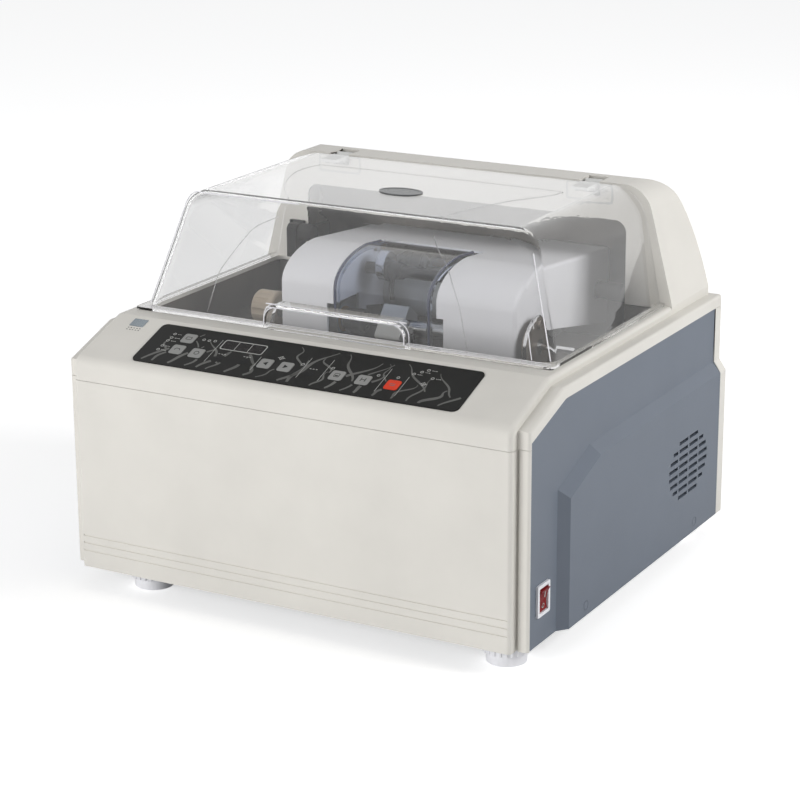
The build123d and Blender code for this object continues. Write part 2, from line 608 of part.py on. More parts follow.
def hood_shell():
    """Clear moulded hood with a lip at its foot and a finger grip in front."""
    rear = HUMP_Y - HOOD_GAP
    hood = hood_solid(0, HOOD_LOW_Z)
    lip_w = HOOD_BASE_W / 2 + HOOD_FLANGE
    lip = make_face(polygon((-lip_w, HOOD_BASE_Y - HOOD_LIP), (lip_w, HOOD_BASE_Y - HOOD_LIP),
                            (lip_w, rear), (-lip_w, rear)))
    lip = fillet(lip.vertices().group_by(Axis.Y)[0], 4.0)
    hood += plan_prism(lip, HOOD_LOW_Z, HOOD_LOW_Z + HOOD_FLANGE_T)
    hood += grip_solid(0, HOOD_LOW_Z)
    hood -= hood_solid(HOOD_T, HOOD_LOW_Z - 1)
    hood -= grip_solid(HOOD_T, HOOD_LOW_Z - 1)
    return hood


def hinge_arms():
    """Goose-neck arms from under the hood's top back to the pivot inside the hump."""
    arms = []
    under = HUMP_TOP_Z - 1 - HOOD_T
    for x in (-HINGE_X, HINGE_X):
        x0, x1 = x - HINGE_W / 2 + 1, x + HINGE_W / 2 - 1
        arm = box(x0, x1, HUMP_Y - 24, HUMP_Y - 3, under - 3, under)
        arm += box(x0, x1, HUMP_Y - 8, HUMP_Y - 4, HOOD_PIVOT_Z - 6, under - 2)
        arm += box(x0, x1, HUMP_Y - 8, HOOD_PIVOT_Y, HOOD_PIVOT_Z - 6, HOOD_PIVOT_Z - 1)
        arm += rod(x0, x1, HOOD_PIVOT_Y, HOOD_PIVOT_Z, HINGE_BARREL_R)
        arms.append(arm - rod(x0 - 1, x1 + 1, HOOD_PIVOT_Y, HOOD_PIVOT_Z, HINGE_PIN_R + RUN_CLEAR))
    return arms


def hinge_brackets():
    """Pairs of steel lugs let into the inside of the hump's top."""
    lugs = []
    for x in (-HINGE_X, HINGE_X):
        for x0 in (x - HINGE_W / 2 - 5, x + HINGE_W / 2 + 1.2):
            lug = box(x0, x0 + 3.8, HOOD_PIVOT_Y - 7.5, HOOD_PIVOT_Y + 3.5, HOOD_PIVOT_Z - 9,
                      HOOD_PIVOT_Z + HINGE_PIN_R + 0.4)
            lugs.append(lug - rod(x0 - 1, x0 + 5, HOOD_PIVOT_Y, HOOD_PIVOT_Z, HINGE_PIN_R))
    return lugs


def hinge_pins():
    reach = HINGE_W / 2 + 6
    return [rod(x - reach, x + reach, HOOD_PIVOT_Y, HOOD_PIVOT_Z, HINGE_PIN_R) for x in (-HINGE_X, HINGE_X)]


# ---- carriage ----
def frame_plates():
    """Side frames that stand on the base and carry the carriage shaft and lead screw."""
    x0, x1 = PLATE_X
    front, rear = HUMP_Y - 50, SCREW_Y + PLATE_MARGIN + 4
    top = SHAFT_Z + SHAFT_R + PLATE_MARGIN + 1
    shelf_y = SHAFT_Y - SHAFT_R - PLATE_MARGIN + 2
    outline = polygon((front, FLOOR_Z), (HUMP_Y + 44, FLOOR_Z), (HUMP_Y + 44, 30), (rear, 60), (rear, top),
                      (shelf_y, top), (shelf_y, SHELF_Z - PLATE_MARGIN), (front, SHELF_Z - 77))
    plate = side_prism(outline, x0, x1)
    plate += box(x0 - 13, x0, front, HUMP_Y + 44, FLOOR_Z, FLOOR_Z + 5)
    plate -= rod(x0 - 20, x1 + 10, MOTOR_Y, MOTOR_Z, MOTOR_SHAFT_R + 4)
    plate -= rod(x0 - 20, x1 + 10, SHAFT_Y, SHAFT_Z, SHAFT_R)
    plate -= rod(x0 - 20, x1 + 10, SCREW_Y, SCREW_Z, SCREW_R + RUN_CLEAR)
    return both_sides(plate)


def carriage_shaft():
    reach = PLATE_X[1] + 3
    return rod(-reach, reach, SHAFT_Y, SHAFT_Z, SHAFT_R)


def carriage_sleeve():
    """Sliding sleeve with end collars and the arm of the traverse nut."""
    x0, x1 = SLEEVE_X
    sleeve = rod(x0, x1, SHAFT_Y, SHAFT_Z, SLEEVE_R)
    sleeve += rod(x0 - 4, x0, SHAFT_Y, SHAFT_Z, SLEEVE_R + 5) + rod(x1, x1 + 4, SHAFT_Y, SHAFT_Z, SLEEVE_R + 5)
    sleeve += side_prism(polygon((SHAFT_Y - 6, SHAFT_Z - 12), (SHAFT_Y + 10, SHAFT_Z - 6),
                                 (SCREW_Y + 8, SCREW_Z + 4), (SCREW_Y + 8, SCREW_Z - 9),
                                 (SCREW_Y - 9, SCREW_Z - 9)), *NUT_ARM_X)
    sleeve -= rod(x0 - 5, x1 + 5, SHAFT_Y, SHAFT_Z, SHAFT_R + RUN_CLEAR)
    return sleeve - rod(x0, x1, SCREW_Y, SCREW_Z, SCREW_R + RUN_CLEAR)


def lead_screw():
    return rod(-PLATE_X[1] - 2, PLATE_X[1] + 5, SCREW_Y, SCREW_Z, SCREW_R)


def traverse_motor():
    """Small stepper on the right frame plate, round the end of the lead screw."""
    return tube(PLATE_X[1], PLATE_X[1] + 11, SCREW_Y, SCREW_Z, 17, SCREW_R + RUN_CLEAR)


def head_outline(inset):
    """Side view of the head's cover, drawn in by inset; open below and behind."""
    front, top = HEAD_Y + inset, HEAD_TOP_Z - inset
    roll_y = HEAD_Y + HEAD_ROLL_D
    low = HEAD_BOTTOM_Z - (1 if inset else 0)
    rear, rear_z = HEAD_REAR_Y + (1 if inset else 0), HEAD_BACK_Z - inset
    (step_y, step_z), low_z = SIDE_STEP, low - 2.5
    line = Polyline((roll_y, top), (rear, rear_z), (rear - 4, low_z), (step_y, step_z - (1 if inset else 0)),
                    (step_y, low), (front, low), (front, CREASE_Z))
    return line + EllipticalCenterArc((roll_y, CREASE_Z), roll_y - front, top - CREASE_Z, start_angle=90,
                                      arc_size=90)


def head_cover():
    """White cover over both boxes of the head, with the working gap in the middle."""
    (x0, x1), (g0, g1) = HEAD_X, GAP_X
    cover = side_prism(head_outline(0), x0, x1)
    ends = [e for e in cover.edges() if min(abs(e.center().X - x0), abs(e.center().X - x1)) < 0.1
            and e.center().Z > SIDE_STEP[1] and e.center().Y < HEAD_REAR_Y - 8]
    cover = fillet(ends, 3.5)
    t = COVER_T
    inside = side_prism(head_outline(t), x0 + t, x1 - t)
    cheeks = box(g0 - t, g1 + t, HEAD_Y - 1, GAP_BACK_Y, 0, 400) - box(g0, g1, HEAD_Y - 2, GAP_BACK_Y + 1, -1, 401)
    cover -= inside - cheeks
    cover -= box(g0, g1, HEAD_Y - 1, GAP_REAR_Y, HEAD_BOTTOM_Z - 4, HEAD_TOP_Z + 1)
    cover -= box(g0 - GAP_NOTCH, g1 + GAP_NOTCH, HEAD_Y - 1, LENS_Y + 20, HEAD_BOTTOM_Z - 4, NOTCH_TOP_Z)
    cover -= rod(x0 - 1, x0 + t + 1, LENS_Y, LENS_Z, LENS_SHAFT_R + 2)
    cover -= rod(x1 - t - 1, x1 + 1, LENS_Y, LENS_Z, LENS_SHAFT_R + 2)
    cover -= rod(x0 - 1, x1 + 1, SHAFT_Y, SHAFT_Z, SHAFT_R + 1)
    for x in (g0 - t, g1):
        cover -= rod(x - 1, x + t + 1, VISOR_PIVOT_Y, VISOR_PIVOT_Z, VISOR_PIN_R)
        cover -= rod(x - 1, x + t + 1, BAR_Y, BAR_Z, BAR_R)
        cover -= rod(x - 1, x + t + 1, TUBE_Y, TUBE_Z, TUBE_R)
    return cover


def arm_outline(grow):
    """Side view of a head arm from the lens shaft back to the sleeve."""
    r0, r1 = 17.0 + grow, 23.0 + grow
    return belt_face((LENS_Y, LENS_Z), r0, (SHAFT_Y, SHAFT_Z), r1)


def belt_face(c0, r0, c1, r1):
    """Two circles joined by their outer tangents."""
    (ax, ay), (bx, by) = c0, c1
    span = hypot(bx - ax, by - ay)
    ux, uy = (bx - ax) / span, (by - ay) / span
    turn = acos((r0 - r1) / span)
    corners = []
    for side in (1, -1):
        nx = ux * cos(turn) - side * uy * sin(turn)
        ny = uy * cos(turn) + side * ux * sin(turn)
        pair = [(ax + nx * r0, ay + ny * r0), (bx + nx * r1, by + ny * r1)]
        corners += pair if side > 0 else reversed(pair)
    web = make_face(Polyline(*corners, close=True))
    return Pos(ax, ay) * Circle(r0) + Pos(bx, by) * Circle(r1) + web


def side_extrude(face, x0, x1):
    return Pos(x0, 0, 0) * extrude(Plane.YZ * face, x1 - x0, dir=(1, 0, 0))


def head_frame():
    """Cast frame: two arms on the sleeve, outer bearing plates and the rear beam."""
    plates = []
    for x0, x1 in ARM_X:
        plates.append(side_extrude(arm_outline(0), x0, x1))
    beam_y = LAY_Y + TUBE_R + 0.5
    for x0, x1 in OUTER_X:
        plate = side_extrude(belt_face((LENS_Y, LENS_Z), 17.0, (LAY_Y, LAY_Z), 17.0), x0, x1)
        plates.append(plate + box(x0, x1, LAY_Y, beam_y + 8, LAY_Z - 12, LAY_Z + 12))
    frame = plates[0] + plates[1] + plates[2] + plates[3]
    left, right = OUTER_X[0][0], OUTER_X[1][1]
    frame += box(left, right, beam_y, beam_y + 8, LAY_Z - 12, LAY_Z + 20)
    for x0, x1 in LUG_X:
        frame += rod(x0, x1, SHAFT_Y, SHAFT_Z, 23.0)
    frame -= rod(-200, 200, SHAFT_Y, SHAFT_Z, SLEEVE_R + RUN_CLEAR)
    frame -= rod(-200, 200, LENS_Y, LENS_Z, BUSH_R)
    frame -= rod(-200, 200, LAY_Y, LAY_Z, LAY_R + RUN_CLEAR)
    return frame


def lens_bushes():
    return [tube(x0, x1, LENS_Y, LENS_Z, BUSH_R, LENS_SHAFT_R + RUN_CLEAR) for x0, x1 in ARM_X + OUTER_X]


def cross_tube():
    """Pale splash tube between the arms, round the layshaft."""
    return tube(ARM_X[0][1], ARM_X[1][0], TUBE_Y, TUBE_Z, TUBE_R, TUBE_R - 3)


def layshaft():
    return rod(OUTER_X[0][0] - 2, OUTER_X[1][1] + 2, LAY_Y, LAY_Z, LAY_R)


def drive_pulley(x0, x1, y, z, bore):
    body = rod(x0, x1, y, z, DRIVE_R) + rod(x0, x0 + 1.2, y, z, DRIVE_R + 3) + rod(x1 - 1.2, x1, y, z, DRIVE_R + 3)
    return body - rod(x0 - 1, x1 + 1, y, z, bore)


def layshaft_pulleys():
    return [drive_pulley(x0, x1, LAY_Y, LAY_Z, LAY_R) for x0, x1 in (BELT_LEFT_X, BELT_RIGHT_X)]


def lens_drive_belts():
    belts = []
    for x0, x1 in (BELT_LEFT_X, BELT_RIGHT_X):
        outer = belt_face((LENS_Y, LENS_Z), DRIVE_R + 2.3, (LAY_Y, LAY_Z), DRIVE_R + 2.3)
        inner = belt_face((LENS_Y, LENS_Z), DRIVE_R + 0.3, (LAY_Y, LAY_Z), DRIVE_R + 0.3)
        belts.append(side_extrude(outer, x0 + 1.5, x1 - 1.5) - side_extrude(inner, x0 + 1, x1 - 1))
    return belts


def lens_motor():
    return tube(*LENS_MOTOR_X, LAY_Y, LAY_Z, LENS_MOTOR_R, LAY_R + RUN_CLEAR)


def left_lens_pulley():
    return drive_pulley(*BELT_LEFT_X, LENS_Y, LENS_Z, LENS_SHAFT_R + RUN_CLEAR)


def right_lens_pulley():
    return drive_pulley(*BELT_RIGHT_X, LENS_Y, LENS_Z, LENS_SHAFT_R)


def left_lens_shaft():
    return rod(KNOB_X[0] + 8, CHUCK_FACE_X[0] - PAD_L, LENS_Y, LENS_Z, LENS_SHAFT_R)


def right_lens_shaft():
    return rod(CHUCK_FACE_X[1] + BLOCK_L, DISC_X + 4, LENS_Y, LENS_Z, LENS_SHAFT_R)


def left_chuck():
    """Round rubber pad with a shallow cup in its face."""
    face_x = CHUCK_FACE_X[0]
    pad = rod(face_x - PAD_L, face_x, LENS_Y, LENS_Z, PAD_R)
    pad = fillet(pad.edges().filter_by(GeomType.CIRCLE), 2.0)
    return pad - rod(face_x - 2, face_x + 2, LENS_Y, LENS_Z, PAD_R - 4)


def right_chuck():
    """Chuck block that holds the lens's mounting block, with a cup in its face."""
    face_x = CHUCK_FACE_X[1]
    block = Box(BLOCK_L, BLOCK_D, BLOCK_H)
    block = fillet(block.edges().filter_by(Axis.X), 3.0)
    block = fillet(block.faces().sort_by(Axis.X)[0].edges(), 1.0)
    block -= rod(-BLOCK_L, -BLOCK_L / 2 + 2, 0, 0, BLOCK_D / 2 - 4)
    return Pos(face_x + BLOCK_L / 2, LENS_Y, LENS_Z) * Rot(-BLOCK_REST, 0, 0) * block


def clamp_knob():
    x0, x1 = KNOB_X
    knob = rod(x0, x1, LENS_Y, LENS_Z, KNOB_R)
    knob = fillet(knob.edges().filter_by(GeomType.CIRCLE), 3.5)
    for i in range(10):
        a = radians(36 * i)
        y, z = LENS_Y + cos(a) * (KNOB_R + 2.6), LENS_Z + sin(a) * (KNOB_R + 2.6)
        knob -= rod(x0 - 1, x1 - 7, y, z, 4.4)
    return knob - rod(x0 + 8, x1 + 1, LENS_Y, LENS_Z, LENS_SHAFT_R)


def template_disc():
    """Bright template disc on the right end of the lens shaft."""
    disc = rod(DISC_X, DISC_X + 4, LENS_Y, LENS_Z, DISC_R)
    disc = fillet(disc.edges().filter_by(GeomType.CIRCLE), 1.0)
    return disc - rod(DISC_X - 1, DISC_X + 4, LENS_Y, LENS_Z, LENS_SHAFT_R)


def template_back_disc():
    return tube(DISC_X - 3.5, DISC_X - 1, LENS_Y, LENS_Z, 24, LENS_SHAFT_R) + tube(
        DISC_X - 1.2, DISC_X, LENS_Y, LENS_Z, 14, LENS_SHAFT_R)


def template_pin():
    pin = rod(DISC_X + 4, 190, LENS_Y, LENS_Z, 2.6)
    return fillet(pin.edges().sort_by(Axis.X)[-1], 1.0)


def template_screw():
    y, z = LENS_Y - 3, LENS_Z + 22.5
    head = rod(DISC_X + 4, DISC_X + 8.5, y, z, 4.6)
    return head - box(DISC_X + 7, DISC_X + 9, y - 6, y + 6, z - 0.6, z + 0.6)


def visor_shell(depth, x0, x1, low):
    """Part of the head's rounded face between two side planes, as thick as depth."""
    shell = side_prism(head_outline(0), x0, x1) - side_prism(head_outline(depth), x0 - 1, x1 + 1)
    return shell & box(x0 - 1, x1 + 1, HEAD_Y - 1, VISOR_REAR_Y, low, HEAD_TOP_Z + 1)


def lens_visor():
    """Clear shield over the gap, flush with the head's face: a bowed plate, two ribs and two lugs."""
    x0, x1 = VISOR_X
    visor = visor_shell(VISOR_T, x0, x1, VISOR_LOW_Z)
    for a, low in ((x0, VISOR_LOW_Z), (x1 - VISOR_RIB_W, VISOR_RIB_Z)):
        b = a + VISOR_RIB_W
        visor += visor_shell(VISOR_RIB_D, a, b, low)
        visor += rod(a, b, VISOR_PIVOT_Y, VISOR_PIVOT_Z, 5.5)
        visor += box(a, b, VISOR_REAR_Y - 12, VISOR_PIVOT_Y, VISOR_PIVOT_Z - 1, VISOR_PIVOT_Z + 5)
    return visor - rod(-200, 200, VISOR_PIVOT_Y, VISOR_PIVOT_Z, VISOR_PIN_R + RUN_CLEAR)


def visor_pins():
    (g0, g1), (v0, v1) = GAP_X, VISOR_X
    y, z, reach = VISOR_PIVOT_Y, VISOR_PIVOT_Z, VISOR_RIB_W + 1
    return [rod(g0 - COVER_T, v0 + reach, y, z, VISOR_PIN_R), rod(v1 - reach, g1 + COVER_T, y, z, VISOR_PIN_R)]


def water_bar():
    """Coolant bar across the gap with a collar, a knob and a hooked nozzle."""
    (g0, g1) = GAP_X
    bar = rod(g0 - COVER_T, g1 + COVER_T, BAR_Y, BAR_Z, BAR_R)
    bar += rod(NOZZLE_X - 6, NOZZLE_X + 6, BAR_Y, BAR_Z, BAR_R + 2.5)
    bar += rod(NOZZLE_X - 18, NOZZLE_X - 8, BAR_Y, BAR_Z, BAR_R + 5)
    route = Plane(origin=(NOZZLE_X, 0, 0), x_dir=(0, 1, 0), z_dir=(1, 0, 0)) * ThreePointArc(
        (BAR_Y - BAR_R, BAR_Z - 2), (BAR_Y - BAR_R - 7, BAR_Z - 12), (BAR_Y - BAR_R - 5, BAR_Z - 26))
    start = Plane(origin=route @ 0, z_dir=route % 0)
    return bar + sweep(start * Circle(2.6), path=route)


def stop_bracket():
    """Left end stop of the traverse, on the hump's face beside its mouth."""
    face, (x0, x1), z = HUMP_Y, STOP_X, STOP_Z
    lug = side_prism(polygon((face, z - 26), (face - 20, z - 26), (face - 20, z + 5), (face - 16, z + 9),
                             (face, z + 9)), x0, x1)
    plate = box(x0 - 6, x1, face - 4, face, z - 28, z + 10)
    return plate + lug - rod(x0 - 2, x1 + 6, face - 10, z, STUD_R)


def stop_stud():
    x0, x1 = STOP_X
    return rod(x0 - 2, x1 + 4, HUMP_Y - 10, STOP_Z, STUD_R)


def stop_bumper():
    x0, y = STOP_X[1] + FREE_CLEAR, HUMP_Y - 10
    bumper = rod(x0, BUMPER_X1, y, STOP_Z, 9.0)
    bumper = fillet(bumper.edges().filter_by(GeomType.CIRCLE), 2.0)
    return bumper - rod(x0 - 1, STOP_X[1] + 4 + RUN_CLEAR, y, STOP_Z, STUD_R + RUN_CLEAR)


# ---- grinding drive ----
def wheel_places():
    places, x = [], WHEEL_X0
    for width in WHEEL_WIDTHS:
        places.append((x, x + width))
        x += width
    return places


def wheel(index, groove):
    x0, x1 = wheel_places()[index]
    disc = tube(x0, x1, WHEEL_Y, WHEEL_Z, WHEEL_R, SPINDLE_R)
    if groove:
        mid = (x0 + x1) / 2
        cut = polygon((mid - groove, WHEEL_R + 1), (mid + groove, WHEEL_R + 1), (mid, WHEEL_R - groove))
        ring = revolve(make_face(Plane.XY * cut), Axis.X)
        disc -= Pos(0, WHEEL_Y, WHEEL_Z) * ring
    return disc


def wheel_spindle():
    x0, x1 = WHEEL_X0, wheel_places()[-1][1]
    shaft = rod(PULLEY_X - PULLEY_W / 2, x1 + 8, WHEEL_Y, WHEEL_Z, SPINDLE_R)
    return shaft + rod(x0 - 4, x0, WHEEL_Y, WHEEL_Z, 18)


def wheel_nut():
    x1 = wheel_places()[-1][1]
    nut = Pos(x1, WHEEL_Y, WHEEL_Z) * Rot(0, 90, 0) * extrude(RegularPolygon(17, 6), 7)
    return nut - rod(x1 - 1, x1 + 9, WHEEL_Y, WHEEL_Z, SPINDLE_R)


def spindle_housing():
    """Flanged bearing cartridge through the left wall of the well."""
    wall = -WELL_W / 2 - TRAY_T
    x0, x1 = wall - 7, WHEEL_X0 - 8
    body = rod(x0, x1, WHEEL_Y, WHEEL_Z, HOUSING_R) + rod(x0, wall, WHEEL_Y, WHEEL_Z, HOUSING_R + 10)
    body -= rod(x0 - 1, x1 - 6, WHEEL_Y, WHEEL_Z, BEARING_R)
    return body - rod(x0, x1 + 1, WHEEL_Y, WHEEL_Z, SPINDLE_R + 1)


def spindle_bearings():
    wall = -WELL_W / 2 - TRAY_T
    spans = ((wall - 5, wall + 8), (WHEEL_X0 - 27, WHEEL_X0 - 14))
    return [tube(a, b, WHEEL_Y, WHEEL_Z, BEARING_R, SPINDLE_R + RUN_CLEAR) for a, b in spans]


def belt_pulley(y, z, r, bore):
    x0, x1 = PULLEY_X - PULLEY_W / 2, PULLEY_X + PULLEY_W / 2
    body = rod(x0, x1, y, z, r) + rod(x0, x0 + 1.2, y, z, r + 4) + rod(x1 - 1.2, x1, y, z, r + 4)
    return body - rod(x0 - 1, x1 + 1, y, z, bore)


def spindle_pulley():
    return belt_pulley(WHEEL_Y, WHEEL_Z, SPINDLE_PULLEY_R, SPINDLE_R)


def motor_pulley():
    return belt_pulley(MOTOR_Y, MOTOR_Z, MOTOR_PULLEY_R, MOTOR_SHAFT_R)


def drive_belt():
    c0, c1 = (WHEEL_Y, WHEEL_Z), (MOTOR_Y, MOTOR_Z)
    outer = belt_face(c0, SPINDLE_PULLEY_R + 0.3 + BELT_T, c1, MOTOR_PULLEY_R + 0.3 + BELT_T)
    inner = belt_face(c0, SPINDLE_PULLEY_R + 0.3, c1, MOTOR_PULLEY_R + 0.3)
    half = PULLEY_W / 2 - 1.6
    return side_extrude(outer, PULLEY_X - half, PULLEY_X + half) - side_extrude(
        inner, PULLEY_X - half - 1, PULLEY_X + half + 1)


def motor_housing():
    x0, x1 = MOTOR_X
    body = rod(x0, x1, MOTOR_Y, MOTOR_Z, MOTOR_R)
    body = fillet(body.edges().filter_by(GeomType.CIRCLE), 6.0)
    body -= rod(x0 + 10, x1 - 10, MOTOR_Y, MOTOR_Z, ROTOR_R + 0.6)
    return body - rod(x0 - 1, x1 - 4, MOTOR_Y, MOTOR_Z, MOTOR_SHAFT_R + RUN_CLEAR)


def motor_rotor():
    x0, x1 = MOTOR_X
    return rod(x0 + 14, x1 - 14, MOTOR_Y, MOTOR_Z, ROTOR_R) + rod(
        PULLEY_X - PULLEY_W / 2, x1 - 5, MOTOR_Y, MOTOR_Z, MOTOR_SHAFT_R)


def motor_cradle():
    x0, x1 = MOTOR_X
    cradle = box(x0 + 20, x1 - 20, MOTOR_Y - 36, MOTOR_Y + 36, FLOOR_Z, MOTOR_Z - 30)
    return cradle - rod(x0, x1, MOTOR_Y, MOTOR_Z, MOTOR_R)


# ---- controls and electrics ----
def control_overlay():
    """Glossy control overlay with windows for its keys and display, on a raised rim."""
    face = RectangleRounded(OVERLAY_W, OVERLAY_L, OVERLAY_R)
    rim = face - RectangleRounded(OVERLAY_W - 8, OVERLAY_L - 8, OVERLAY_R - 4)
    mid = on_slope(0, OVERLAY_L / 2, 0)
    sheet = mid * Pos(0, 0, OVERLAY_PROUD - OVERLAY_T) * extrude(face, OVERLAY_T)
    sheet += mid * Pos(0, 0, BOARD_LIFT) * extrude(rim, OVERLAY_PROUD - OVERLAY_T - BOARD_LIFT + 0.1)
    for x, s in KEYS.values():
        sheet -= on_slope(x, s, -3) * extrude(RectangleRounded(KEY + 0.5, KEY + 0.5, 2.8), 5)
    sheet -= on_slope(DISPLAY_X, DISPLAY_S, -3) * extrude(
        RectangleRounded(DISPLAY_W + 0.4, DISPLAY_L + 0.4, 2.2), 5)
    return sheet


def keypad_board():
    mid = on_slope(0, OVERLAY_L / 2, BOARD_LIFT - 0.8)
    return mid * extrude(RectangleRounded(OVERLAY_W - 1, OVERLAY_L - 1, OVERLAY_R - 0.5), 0.8)


def display_window():
    return on_slope(DISPLAY_X, DISPLAY_S, BOARD_LIFT) * extrude(
        RectangleRounded(DISPLAY_W, DISPLAY_L, 2.0), OVERLAY_PROUD + 0.1 - BOARD_LIFT)


def key_cap(x, s):
    low = BOARD_LIFT + KEY_TRAVEL + 0.05
    cap = on_slope(x, s, low) * extrude(
        RectangleRounded(KEY, KEY, 2.5), OVERLAY_PROUD + KEY_RISE - low)
    top_edges = cap.faces().sort_by(Axis.Z)[-1].edges()
    return fillet(top_edges, 0.35)


def switch_housing():
    """Snap-in mains switch body with its white bezel."""
    y0, y1 = ROCKER_Y - BEZEL_L / 2, ROCKER_Y + BEZEL_L / 2
    z0, z1 = ROCKER_Z - BEZEL_H / 2, ROCKER_Z + BEZEL_H / 2
    bezel = box(PANEL_X, PANEL_X + 2.2, y0, y1, z0, z1)
    bezel = fillet(bezel.edges().filter_by(Axis.X), 2.0)
    body = bezel + box(PANEL_X - 20, PANEL_X + 0.5, y0 + 2, y1 - 2, z0 + 2, z1 - 2)
    return body - box(PANEL_X - 14, PANEL_X + 4, y0 + 3.5, y1 - 3.5, z0 + 3.5, z1 - 3.5)


def power_rocker():
    """Rocker with a crowned outer face, leaning with its upper end out."""
    half = BEZEL_H / 2 - 4.6
    px = PANEL_X - 2.0
    outline = Polyline((4.8, -half), (-4.0, -half), (-7.5, 0), (-4.0, half), (4.8, half))
    outline += ThreePointArc((4.8, half), (2.6, 0), (4.8, -half))
    width = BEZEL_L - 8.2
    plane = Plane(origin=(0, -width / 2, 0), x_dir=(1, 0, 0), z_dir=(0, -1, 0))
    block = extrude(plane * make_face(outline), width, dir=(0, 1, 0))
    block -= Rot(90, 0, 0) * Cylinder(ROCKER_PIN_R + RUN_CLEAR, 40)
    return Pos(px, ROCKER_Y, ROCKER_Z) * Rot(0, ROCKER_REST, 0) * block


def rocker_pin():
    return Pos(PANEL_X - 2.0, ROCKER_Y, ROCKER_Z) * Rot(90, 0, 0) * Cylinder(ROCKER_PIN_R, BEZEL_L - 7)


def fan_frame():
    """Square cooling fan frame against the inside of the right panel's raised field."""
    x1 = PANEL_X - PANEL_T + FIELD_H - 0.3
    x0, half = x1 - FAN_T, FAN_SIZE / 2
    frame = box(x0, x1, VENT_Y - half, VENT_Y + half, VENT_Z - half, VENT_Z + half)
    frame = fillet(frame.edges().filter_by(Axis.X), 4.0)
    frame -= rod(x0 - 1, x1 + 1, VENT_Y, VENT_Z, half - 2)
    spokes = rod(x0, x0 + 3, VENT_Y, VENT_Z, 15)
    for turn in (0, 90):
        spokes += Pos(x0 + 1.5, VENT_Y, VENT_Z) * Rot(turn + 20, 0, 0) * Box(3, FAN_SIZE - 3, 4)
    return frame + spokes - rod(x0 - 1, x0 + 4, VENT_Y, VENT_Z, 2.0 + RUN_CLEAR)


def fan_rotor():
    x1 = PANEL_X - PANEL_T + FIELD_H - 0.3
    x0 = x1 - FAN_T
    rotor = rod(x0 + 4, x1 - 3, VENT_Y, VENT_Z, 14) + rod(x0, x0 + 5, VENT_Y, VENT_Z, 2.0)
    blade_r = FAN_SIZE / 2 - 3.5
    for i in range(7):
        blade = Rot(0, 0, 35) * Box(16, 2.0, blade_r - 12)
        place = Pos((x0 + x1) / 2, VENT_Y, VENT_Z) * Rot(i * 360 / 7, 0, 0)
        rotor += place * Pos(0, 0, 12 + (blade_r - 12) / 2) * blade
    return rotor


def mains_inlet():
    rear = BODY_D
    body = box(-15.3, 15.3, rear - 24, rear, 32.2, 56.8) - box(-12.3, 12.3, rear - 16, rear + 1, 36, 53)
    for x, z in ((-7, 43), (7, 43), (0, 48)):
        body += box(x - 1, x + 1, rear - 17, rear - 3, z - 2, z + 2)
    return body


def transformer():
    (x0, x1), (y0, y1) = TRANSFORMER_X, TRANSFORMER_Y
    low, a, b = FLOOR_Z, (x0 + 12, x1 - 24), (x0 + 24, x1 - 12)
    core = box(x0, x1, y0, y1, low, low + 58)
    core -= box(a[0], b[0], y0 - 1, y1 + 1, low + 12, low + 46) + box(a[1], b[1], y0 - 1, y1 + 1, low + 12, low + 46)
    c0, c1, z0, z1 = a[0] + 0.3, b[1] - 0.3, low + 12.3, low + 45.7
    coil = box(c0, c1, y0 - 9, y1 + 9, z0, z1) - box(b[0], a[1], y0 - 10, y1 + 10, 0, 90)
    ends = box(c0, c1, y0 - 9, y0 - 0.4, z0, z1) + box(c0, c1, y1 + 0.4, y1 + 9, z0, z1)
    return [core, coil + ends]


def control_board():
    board = box(-160, 90, 58, 59.6, FLOOR_Z + 10, 150)
    for x in (-140, -90, -30, 30, 70):
        board += box(x - 9, x + 9, 59, 66, 60, 84)
    return board


def board_posts():
    return [box(x - 4, x + 4, 52, 66, FLOOR_Z, FLOOR_Z + 16) - box(x - 5, x + 5, 57.9, 59.7, FLOOR_Z + 9, 40)
            for x in (-150, 80)]


